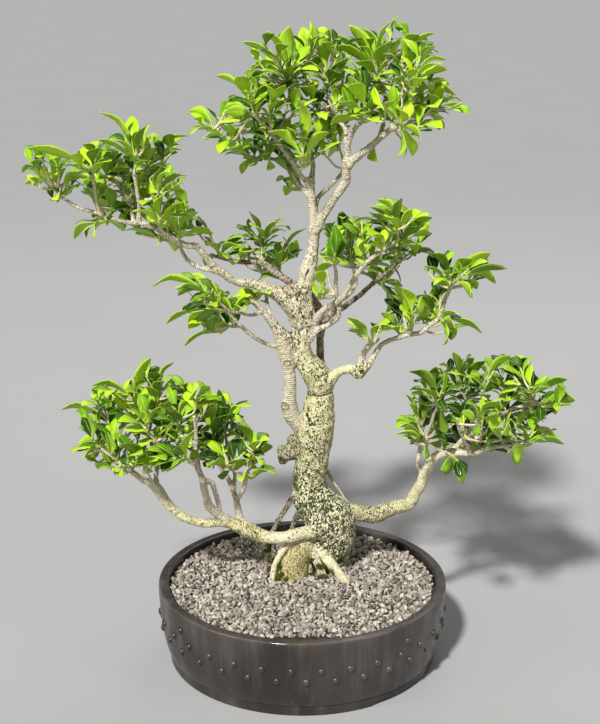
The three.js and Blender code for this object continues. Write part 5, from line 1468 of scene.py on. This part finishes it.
def leaf_grid(foot, tip, normal, width, seed):
    """A leaf's upper sheet as a grid of points, one row for each station."""
    length = np.linalg.norm(tip - foot)
    axis = (tip - foot) / length
    side = np.cross(axis, normal)
    peak = drawn(*LEAF_PEAK, seed, 1, 5)
    fold = drawn(*LEAF_FOLD, seed, 2, 5)
    curl = LEAF_CURL[0] + LEAF_CURL[1] * chance(seed, 3, 5) ** 2
    sway = LEAF_SWAY * swing(seed, 4, 5)
    along = np.array(LEAF_STATIONS)[:, None]
    across = np.linspace(-1, 1, LEAF_COLUMNS)[None, :]
    blade = np.clip((along - PETIOLE_SHARE) / (1 - PETIOLE_SHARE), 0, 1)
    outline = np.sin(math.pi * blade ** (math.log(0.5) / math.log(peak))) ** LEAF_FULLNESS
    outline = outline * (1 - TIP_NARROWING * eased(blade, TIP_START, 1))
    outline = outline * (FOOT_BREADTH[0] + FOOT_BREADTH[1] * eased(blade, 0, FOOT_END))
    half = PETIOLE_RADIUS * (1 - RIB_TAPER * blade) + width / 2 * outline
    rise = LEAF_ARCH * length * 4 * along * (1 - along)
    rise = rise + fold * half * np.abs(across) ** FOLD_POWER - EDGE_ROLL * half * across ** 4
    ripple = np.sin(2 * math.pi * (RIPPLES * along + chance(seed, 5, 5)))
    rise = rise + RIPPLE_RISE * width * ripple * across * outline
    rise = rise - curl * length * eased(blade, CURL_START, 1) ** 2
    reach = across * half + sway * length * np.sin(math.pi * along)
    run = along * length + 0 * across
    return foot + run[..., None] * axis + reach[..., None] * side + rise[..., None] * normal


def add_leaf(shape, grid, normal, tint):
    """A closed leaf of even thickness, thicker in its stalk, from its upper sheet."""
    rows, columns = grid.shape[:2]
    down = unit(np.cross(np.gradient(grid, axis=0), np.gradient(grid, axis=1)))
    down = down * np.where((down @ normal) > 0, -1.0, 1.0)[..., None]
    along = np.array(LEAF_STATIONS)
    stalk = 1 - eased(along, PETIOLE_SHARE, 2 * PETIOLE_SHARE)
    lower = grid + down * (LEAF_THICKNESS + 2 * PETIOLE_RADIUS * stalk)[:, None, None]
    points = np.vstack([grid.reshape(-1, 3), lower.reshape(-1, 3)])
    shape.add(points, LEAF_FACES, 0, tint=tint, across=np.tile(np.linspace(-1, 1, columns), 2 * rows),
              along=np.tile(np.repeat(along, columns), 2), under=np.repeat([0.0, 1.0], rows * columns),
              young=0)


def leaf_faces(rows, columns):
    """Faces of a closed leaf: upper sheet, lower sheet and the edge between them."""
    count = rows * columns
    faces = []
    for row in range(rows - 1):
        for column in range(columns - 1):
            corner = row * columns + column
            quad = [corner, corner + 1, corner + columns + 1, corner + columns]
            faces += [quad, [index + count for index in reversed(quad)]]
    rim = list(range(columns)) + [row * columns + columns - 1 for row in range(1, rows)]
    rim += [(rows - 1) * columns + column for column in range(columns - 2, -1, -1)]
    rim += [row * columns for row in range(rows - 2, 0, -1)]
    for here, following in zip(rim, rim[1:] + rim[:1]):
        faces.append([following, here, here + count, following + count])
    return faces


LEAF_FACES = leaf_faces(len(LEAF_STATIONS), LEAF_COLUMNS)


def blade_of(grid):
    """The points that stand for a leaf: its blade without the stalk's end."""
    return grid[STALK_STATIONS:].reshape(-1, 3)


class Crowd:
    """The leaves that are already placed, so that others keep clear of them and of the wood."""

    def __init__(self, samples):
        self.wood = np.concatenate([sample[0] for sample in samples.values()])
        self.wood_radii = np.concatenate([sample[1] for sample in samples.values()])
        self.blades = []
        self.centres = []
        self.reaches = []

    def is_clear(self, points, clearance=LEAF_CLEARANCE):
        """Tells whether points keep clear of the wood and of every leaf."""
        centre = points.mean(axis=0)
        reach = np.linalg.norm(points - centre, axis=1).max()
        close = np.linalg.norm(self.wood - centre, axis=1) < reach + self.wood_radii + WOOD_REACH
        if (distances(points, self.wood[close]) - self.wood_radii[close] < WOOD_CLEARANCE).any():
            return False
        apart = np.linalg.norm(np.reshape(self.centres, (-1, 3)) - centre, axis=1)
        near = np.nonzero(apart < reach + np.array(self.reaches))[0]
        return all(distances(points, self.blades[index]).min() >= clearance for index in near)

    def join(self, points):
        """Adds a leaf's blade."""
        centre = points.mean(axis=0)
        self.blades.append(points)
        self.centres.append(centre)
        self.reaches.append(np.linalg.norm(points - centre, axis=1).max())


def traced_leaf(base, top, leaf, order, crowd):
    """A traced leaf in the first bend that is clear of the others, or unbent where none is."""
    kept = None
    for bend in BENDS:
        foot, tip = leaf_ends(base, top, leaf, order, bend)
        normal, width = leaf_facing(foot, tip, leaf[2] * TRACED_BREADTH)
        grid = leaf_grid(foot, tip, normal, width, leaf[0] + TRACED_SEED * leaf[1])
        if kept is None:
            kept = (grid, normal)
        if crowd.is_clear(blade_of(grid)):
            return grid, normal
    return kept


def whorl(root, end, count, spread, seed):
    """Leaves turned round a shoot by the golden angle: foot, tip, facing, width and seed of each."""
    run = end - root
    axis = unit(run)
    one = unit(np.cross(axis, WHORL_ASKEW))
    other = np.cross(axis, one)
    for k in range(count):
        turn = GOLDEN_TURN * k + 2 * math.pi * chance(seed, count, 7)
        lean = math.radians(spread * drawn(*WHORL_LEAN, seed, k, 8))
        size = LEAF_LENGTH * drawn(*FILLING_SIZE, seed, k, 9)
        foot = root + run * (k + 0.5) / count
        spoke = one * math.cos(turn) + other * math.sin(turn)
        heading = unit(axis * math.cos(lean) + spoke * math.sin(lean) + UP * WHORL_RISE)
        up = np.array([FACING_SPREAD * (chance(seed, k, 10) - 0.5),
                       FACING_SPREAD * (chance(seed, k, 12) - FACING_FRONT), 1.0])
        normal = unit(up - heading * (up @ heading))
        yield foot, foot + heading * size, normal, LEAF_WIDTH_RATIO * size, seed + k


class Mask:
    """The cells of the eye's view that leaves cover, and the outline that they have together."""

    def __init__(self):
        self.covered = np.zeros((VIEW_SIZE[1] + 1, VIEW_SIZE[0] + 1), bool)
        self.inside = np.zeros_like(self.covered)
        self.nearest = np.full(self.covered.shape, np.inf)

    def cells_of(self, points):
        """The rows and columns of the cells where the eye sees points."""
        cells = np.round(seen_at(points)).astype(int)
        return np.clip(cells[:, 1], 0, VIEW_SIZE[1]), np.clip(cells[:, 0], 0, VIEW_SIZE[0])

    def cover(self, points):
        """Marks the points' cells as covered."""
        self.covered[self.cells_of(points)] = True

    def keep_in_sight(self, points):
        """Remembers how near these points are to the eye, so that no filling leaf hides them."""
        np.minimum.at(self.nearest, self.cells_of(points), np.linalg.norm(points - EYE, axis=1))

    def close(self, pads):
        """Sets the inside: each pad's covered cells, with the gaps between them, and a narrow border."""
        for points in pads.values():
            seen = self.cells_of(np.concatenate(points))
            window = tuple(slice(max(cells.min() - 2 * MASK_CLOSING, 0), cells.max() + 2 * MASK_CLOSING)
                           for cells in seen)
            covered = np.zeros_like(self.covered)
            covered[seen] = True
            closed = ~widened(~widened(covered[window], MASK_CLOSING), MASK_CLOSING - MASK_BORDER)
            self.inside[window] |= without_holes(closed)

    def has_room(self, points):
        """Tells whether the points are inside the outline and hide next to nothing that is kept in sight."""
        cells = self.cells_of(points)
        hiding = np.linalg.norm(points - EYE, axis=1) < self.nearest[cells]
        hiding = (np.isfinite(self.nearest[cells]) & hiding).mean()
        return self.inside[cells].mean() >= MASK_SHARE and hiding <= HIDING_SHARE


def widened(cells, steps):
    """Cells, and those up to that many steps from them."""
    for step in range(steps):
        grown = cells.copy()
        for shift in NEIGHBOURS + (DIAGONALS if step % 2 else ()):
            grown |= np.roll(cells, shift, (0, 1))
        cells = grown
    return cells


def without_holes(cells):
    """Cells, and those that they surround."""
    outside = np.zeros_like(cells)
    outside[[0, -1]] = True
    outside[:, [0, -1]] = True
    outside &= ~cells
    count = 0
    while outside.sum() > count:
        count = outside.sum()
        outside = widened(outside, 2) & ~cells
    return ~outside


def pad_of(name):
    """The pad that a spray is in."""
    return name.rpartition("_")[0]


class Foliage:
    """The sprays' shapes as they grow: shoots, then traced leaves, then the leaves that fill the pads."""

    def __init__(self, samples):
        self.samples = samples
        self.shapes = {name: Shape() for name in EVERY_SPRAY}
        self.crowd = Crowd(samples)
        self.mask = Mask()
        self.shoots = []

    def grow_shoots(self):
        """Every spray's shoots: the first from the wood, the others from the first."""
        lines = [np.array([spot(*point[:3]) for point in route]) for route in ROUTES.values()]
        starts = []
        for name, entries in EVERY_SPRAY.items():
            for order, (base, tip, leaves) in enumerate(entries):
                base, tip = spot(*base), spot(*tip)
                if order == 0:
                    points = shoot_points(base, tip, lines, starts)
                    starts.append(points[0])
                    first_shoot = np.array([base + (tip - base) * SECOND_SHOOT_START, tip])
                else:
                    points = shoot_points(base, tip, [first_shoot], [])
                add_shoot(self.shapes[name], points)
                self.shoots.append((name, order, base, tip, leaves, points[0]))

    def add_leaf(self, name, grid, normal, tint):
        """Adds a leaf to a spray, a little younger or older by its pad."""
        self.crowd.join(blade_of(grid))
        self.mask.cover(grid.reshape(-1, 3))
        add_leaf(self.shapes[name], grid, normal, tint + YOUTH.get(pad_of(name), 0))

    def add_traced_leaves(self):
        """The leaves that are seen, whose outline the filling leaves keep to."""
        pads = {}
        for name, order, base, tip, leaves, _ in self.shoots:
            for index, leaf in enumerate(leaves):
                grid, normal = traced_leaf(base, tip, leaf, order + index, self.crowd)
                self.mask.keep_in_sight(grid.reshape(-1, 3))
                pads.setdefault(pad_of(name), []).append(grid.reshape(-1, 3))
                tint = drawn(*(DARK_TINT if len(leaf) == 4 else BRIGHT_TINT), leaf[0], leaf[1], 4)
                self.add_leaf(name, grid, normal, tint)
        self.mask.close(pads)
        for centres, radii, _ in self.samples.values():
            sides = unit(np.cross(np.gradient(centres, axis=0), centres - EYE))
            for share in WOOD_IN_SIGHT:
                self.mask.keep_in_sight(centres + sides * (radii * share)[:, None])

    def fits(self, grid):
        """Tells whether a filling leaf has room and keeps clear of the others."""
        return self.mask.has_room(grid.reshape(-1, 3)) and self.crowd.is_clear(blade_of(grid))

    def add_filling_leaf(self, name, leaf):
        """Adds a leaf between the traced ones where it fits."""
        _, tip, normal, _, seed = leaf
        grid = leaf_grid(*leaf)
        if abs(tip[1]) <= DEEPEST_LEAF and self.fits(grid):
            least, spread, power = FILLING_TINT
            self.add_leaf(name, grid, normal, least + spread * chance(seed, 3, 11) ** power)

    def fill_shoots(self):
        """Whorls of leaves on every shoot; returns places that tufts can grow from, and their sprays."""
        roots, owners = [], []
        for name, _, base, tip, _, start in self.shoots:
            seed = base[0] + WHORL_SEED * base[2]
            for root, end, count, spread in ((base, tip, *TIP_WHORLS[0]), (base, tip, *TIP_WHORLS[1]),
                                             (start, base, *BASE_WHORL)):
                if np.linalg.norm(end - root) > SHORTEST_SHOOT:
                    for leaf in whorl(root, end, count, spread, seed + count):
                        self.add_filling_leaf(name, leaf)
                    roots.append(root + (end - root) * TUFT_ROOTS[:, None])
                    owners += [name] * len(TUFT_ROOTS)
        return np.concatenate(roots), owners

    def add_tufts(self, roots, owners):
        """Small shoots with leaves, each grown towards a bare place of a pad."""
        feet = np.array(self.crowd.centres)
        feet_seen = seen_at(feet)
        random = np.random.default_rng(TUFT_SEED)
        for _ in range(TUFT_TRIES):
            bare = np.argwhere(self.mask.inside & ~self.mask.covered)
            down, across = bare[random.integers(len(bare))]
            near = np.argsort(np.linalg.norm(feet_seen - (across, down), axis=1))[:TUFT_NEIGHBOURS]
            depth = feet[near, 1].mean() + TUFT_SETBACK + random.normal() * TUFT_DEPTH_SPREAD
            end = spot(across, down, np.clip(depth, -DEEPEST_LEAF, DEEPEST_LEAF))
            away = np.linalg.norm(roots - end, axis=1)
            away += TUFT_DROP_COST * np.maximum(TUFT_RISE * away - (end[2] - roots[:, 2]), 0)
            nearest = int(np.argmin(away))
            name, root = owners[nearest], roots[nearest]
            length = np.linalg.norm(end - root)
            if length < SHORTEST_TUFT or away[nearest] > LONGEST_TUFT:
                continue
            knee = root + (end - root) * TUFT_KNEE - UP * (TUFT_SAG * length)
            stem = spline(np.array([root, knee, (knee + end) / 2, end]), TUFT_PROBE)[0][2:]
            if not self.crowd.is_clear(stem, TWIG_CLEARANCE):
                continue
            leaves = whorl(knee, end, *TUFT_WHORL, across + TUFT_LEAF_SEED * down)
            grown = [leaf for leaf in leaves if self.fits(leaf_grid(*leaf))]
            if len(grown) < FEWEST_IN_TUFT:
                continue
            last = max((leaf[0] for leaf in grown), key=lambda foot: np.linalg.norm(foot - root))
            end = last + unit(end - knee)
            add_shoot(self.shapes[name], np.array([root, knee, (knee + end) / 2, end]))
            for leaf in grown:
                self.add_filling_leaf(name, leaf)


def make_sprays(samples):
    """Every spray: its shoots, the traced leaves and the leaves that fill it."""
    foliage = Foliage(samples)
    foliage.grow_shoots()
    foliage.add_traced_leaves()
    foliage.add_tufts(*foliage.fill_shoots())
    for name, shape in foliage.shapes.items():
        spray = shape.to_object("foliage_" + name, [LEAF, SHOOT])
        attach(spray, "root")
        if name not in FINER_SPRAYS:
            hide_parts("spray_" + name)


# Pot

def rounded(profile):
    """Points of a turned outline whose corners, given with a radius, are rounded."""
    points = []
    for i, (radius, height, corner) in enumerate(profile):
        here = np.array([radius, height], float)
        if corner == 0:
            points.append(here)
            continue
        before = np.array(profile[i - 1][:2], float) - here
        after = np.array(profile[i + 1][:2], float) - here
        reach = min(corner, np.linalg.norm(before) / 2, np.linalg.norm(after) / 2)
        start, end = here + unit(before) * reach, here + unit(after) * reach
        for share in np.linspace(0, 1, CORNER_STEPS):
            points.append((1 - share) ** 2 * start + 2 * share * (1 - share) * here + share ** 2 * end)
    return np.array(points)


def pot_solid():
    """The turned pot with the gaps in its foot ring, before the drain holes."""
    turns = even_turns(POT_TURNS)
    radii, heights = np.vstack([[(FLOOR_EDGE, FLOOR_UNDERSIDE)], rounded(POT_OUTLINE)]).T[:, :, None]
    points = np.stack([radii * np.sin(turns), -radii * np.cos(turns),
                       np.broadcast_to(heights, (len(heights), POT_TURNS))], axis=2)
    half_gap = math.degrees(math.asin(FOOT_GAP_WIDTH / 2 / FOOT_RADIUS))
    for gap_turn in FOOT_GAP_TURNS:
        off = np.abs((np.degrees(turns) - gap_turn + 180) % 360 - 180)
        lift = FOOT_GAP_HEIGHT * (1 - eased(off, half_gap - FOOT_GAP_SLOPE, half_gap + FOOT_GAP_SLOPE))
        points[:, :, 2] = np.maximum(points[:, :, 2], lift[None, :])
    solid = Shape()
    solid.add(np.vstack([points.reshape(-1, 3), [UP * FLOOR_UNDERSIDE], [UP * FLOOR_TOP]]),
              ring_faces(len(heights), POT_TURNS))
    return solid.to_object("rough_pot", [])


def make_pot():
    """The pot with its drain holes, its edges lightened partly as wear and partly as painted highlight, and
    its rows of studs.
    """
    rough = pot_solid()
    holes = Shape()
    for turn in even_turns(DRAIN_COUNT) + DRAIN_TURN:
        foot = np.array([DRAIN_CIRCLE * math.cos(turn), DRAIN_CIRCLE * math.sin(turn), -FLOOR_TOP])
        rise = np.linspace(0, 3 * FLOOR_TOP, DRAIN_RINGS)[:, None] * UP
        holes.add(*tube(foot + rise, np.full(DRAIN_RINGS, DRAIN_RADIUS), DRAIN_SIDES))
    drill = holes.to_object("drill", [])
    cut = rough.modifiers.new("drain", "BOOLEAN")
    cut.operation = "DIFFERENCE"
    cut.solver = "EXACT"
    cut.object = drill
    mesh = applied(rough)
    bpy.data.objects.remove(drill)
    mesh.set_sharp_from_angle(angle=SHARPEST_SMOOTH)
    places = rows_of(mesh.vertices, "co")
    heights = places[:, 2] / MM
    reaches = np.linalg.norm(places[:, :2], axis=1) / MM
    # edge: where the pot is lightened and glossier, at the lip's outer edge and the step above the foot,
    # partly wear and partly painted highlight
    rim = eased(heights, POT_HEIGHT - RIM_WEAR_AND_HIGHLIGHT_HEIGHT, POT_HEIGHT)
    rim = rim * (1 - eased(np.abs(reaches - (POT_RADIUS - 1)), *RIM_WEAR_AND_HIGHLIGHT_WIDTH))
    step = np.exp(-(heights - WALL_OUTLINE[0][1]) ** 2) * (reaches > FOOT_RADIUS + 1)
    add_values(mesh, {"edge": np.maximum(rim, step)})
    pot = placed("pot_body", mesh, [POT])
    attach(pot, "root")
    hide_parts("pot")

    studs = Shape()
    places = [(turn, SINGLE_STUD_HEIGHT) for turn in SINGLE_STUD_TURNS]
    for height, first_turn in STUD_ROWS:
        places += [(first_turn + 360 * i / STUDS_PER_ROW, height) for i in range(STUDS_PER_ROW)]
    points, faces = ball(rings=STUD_RINGS, sides=STUD_SIDES)
    for turn, height in places:
        turn = math.radians(turn)
        outward = np.array([math.sin(turn), -math.cos(turn), 0])
        aside = np.array([math.cos(turn), math.sin(turn), 0])
        wall = np.interp(height, [point[1] for point in WALL_OUTLINE], [point[0] for point in WALL_OUTLINE])
        centre = outward * (wall - STUD_SINK) + UP * height
        spread = STUD_RADIUS * (1 + STUD_SPREAD * swing(turn, height, 1))
        stud = centre + (points[:, :1] * aside + points[:, 2:] * UP) * spread
        stud = stud + points[:, 1:2] * -outward * STUD_RISE
        # a stud's crown is lightened, partly as wear and partly as painted highlight
        studs.add(stud, faces, edge=np.maximum(-points[:, 1] - STUD_CROWN, 0) * STUD_WEAR_AND_HIGHLIGHT)
    beads = studs.to_object("pot_studs", [POT])
    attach(beads, "root")
    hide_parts("pot")


# Gravel

def make_gravel(samples):
    """Crushed grains over the soil, a few of them on top of the others, none inside the roots."""
    random = np.random.default_rng(GRAVEL_SEED)
    reach = POT_RADIUS - LIP_WIDTH - GRAVEL_MARGIN
    rows = int(reach / GRAVEL_SPACING) + 1
    steps = range(-rows, rows + 1)
    spots = []
    for share, lift in GRAVEL_LAYERS:
        for row, column in product(steps, steps):
            x = (column + 0.5 * (row % 2)) * GRAVEL_SPACING
            y = row * GRAVEL_SPACING * ROW_SHARE
            if random.random() < share:
                jitter = random.uniform(-GRAVEL_JITTER, GRAVEL_JITTER, 2) * GRAVEL_SPACING
                rise = lift + random.uniform(-GRAVEL_LIFT, GRAVEL_LIFT)
                spots.append((x + jitter[0], y + jitter[1], rise))
    spots = np.array(spots)
    spots = spots[np.linalg.norm(spots[:, :2], axis=1) < reach - GRAVEL_SIZE * RIM_CLEARANCE]
    across = np.linalg.norm(spots[:, :2], axis=1)
    spots[:, 2] += SOIL_EDGE_HEIGHT + SOIL_CROWN * (1 - (across / reach) ** 2)
    low = [sample for sample in samples.values() if sample[0][:, 2].min() < POT_HEIGHT + ROOT_LEVEL]
    centres, radii, _ = (np.concatenate(parts) for parts in zip(*low))
    spots = spots[(distances(spots, centres) - radii).min(axis=1) > -ROOT_OVERLAP]
    gravel = Shape()
    for place in spots:
        size = GRAVEL_SIZE * random.uniform(*GRAIN_SIZE)
        breadth, height = random.uniform(*GRAIN_BREADTH), random.uniform(*GRAIN_HEIGHT)
        stretch = np.array([GRAIN_LENGTH, breadth, height]) * size
        grain = GRAIN_POINTS * (1 + random.uniform(*GRAIN_ROUGHNESS, (len(GRAIN_POINTS), 1))) * stretch
        axes = np.linalg.qr(random.normal(size=(3, 3)))[0]
        axes = axes * np.sign(np.linalg.det(axes))
        gravel.add(place + grain @ axes.T, GRAIN_FACES, shade=random.random())
    stones = gravel.to_object("gravel", [GRAVEL], smooth=False)
    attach(stones, "root")


# Moss

def make_moss(tree):
    """Tufts of moss where the trunk and the roots meet the gravel."""
    random = np.random.default_rng(MOSS_SEED)
    rings = len(MOSS_RADII)
    moss = Shape()
    for across, down, radius in MOSS_TUFTS:
        centre = seen_on(tree, across, down)
        if centre is None:
            continue
        for _ in range(int(MOSS_DENSITY * radius ** 2)):
            x, y, z = random.normal(size=3)
            spoke = unit([x, -abs(y), abs(z)])
            foot = centre + spoke * radius * random.uniform(*MOSS_REACH) * np.array(MOSS_FLATTENING)
            heading = unit(spoke + random.normal(size=3) * MOSS_LEAN)
            blade = foot + heading * np.linspace(0, random.uniform(*MOSS_LENGTH), rings)[:, None]
            moss.add(*tube(blade, np.array(MOSS_RADII), MOSS_SIDES),
                     tip=np.array(MOSS_TIPS)[ring_numbers(rings, MOSS_SIDES)])
    tufts = moss.to_object("moss", [MOSS])
    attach(tufts, "root")


# The tree and the pot

WOOD = {name: route_samples(name) for name in ROUTES}
trunk_tree = make_wood(WOOD)
make_sprays(WOOD)
make_pot()
make_gravel(WOOD)
make_moss(trunk_tree)
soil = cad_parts["soil"]
soil.data.materials.clear()
soil.data.materials.append(SOIL)


# Floor, light and camera

def add_lamp(name, kind, toward, place=(0, 0, 0), **settings):
    """A lamp at a place, shining in a direction."""
    lamp = bpy.data.lights.new(name, kind)
    for key, value in settings.items():
        setattr(lamp, key, value)
    holder = linked(name, lamp)
    holder.location = place
    holder.rotation_euler = toward.to_track_quat("-Z", "Y").to_euler()


floor = placed("floor", bpy.data.meshes.new("floor"), [floor_material()])
floor.data.from_pydata([(-FLOOR_REACH, -FLOOR_REACH, 0), (FLOOR_REACH, -FLOOR_REACH, 0),
                        (FLOOR_REACH, FLOOR_REACH, 0), (-FLOOR_REACH, FLOOR_REACH, 0)], [], [[0, 1, 2, 3]])

for lamp_name, lamp_place, lamp_size, watts in LAMPS:
    toward = Vector(LAMP_AIM) - Vector(lamp_place)
    add_lamp(lamp_name, "AREA", toward, lamp_place, size=lamp_size, energy=watts)
add_lamp("key_sun", "SUN", -Vector(SUN_FROM), energy=SUN_STRENGTH, angle=SUN_SPREAD)
world = bpy.data.worlds.new("studio")
world.use_nodes = True
sky = world.node_tree.nodes["Background"]
sky.inputs["Color"].default_value = SKY_COLOUR
sky.inputs["Strength"].default_value = SKY
bpy.context.scene.world = world
bpy.context.scene.view_settings.view_transform = "Standard"

lens = bpy.data.cameras.new("camera")
lens.sensor_width = SENSOR
lens.lens = EYE_FOCAL * SENSOR / VIEW_SIZE[1]
camera = linked("camera", lens)
camera.location = EYE * MM
camera.rotation_euler = (math.pi / 2 - EYE_PITCH, 0, 0)
bpy.context.scene.camera = camera
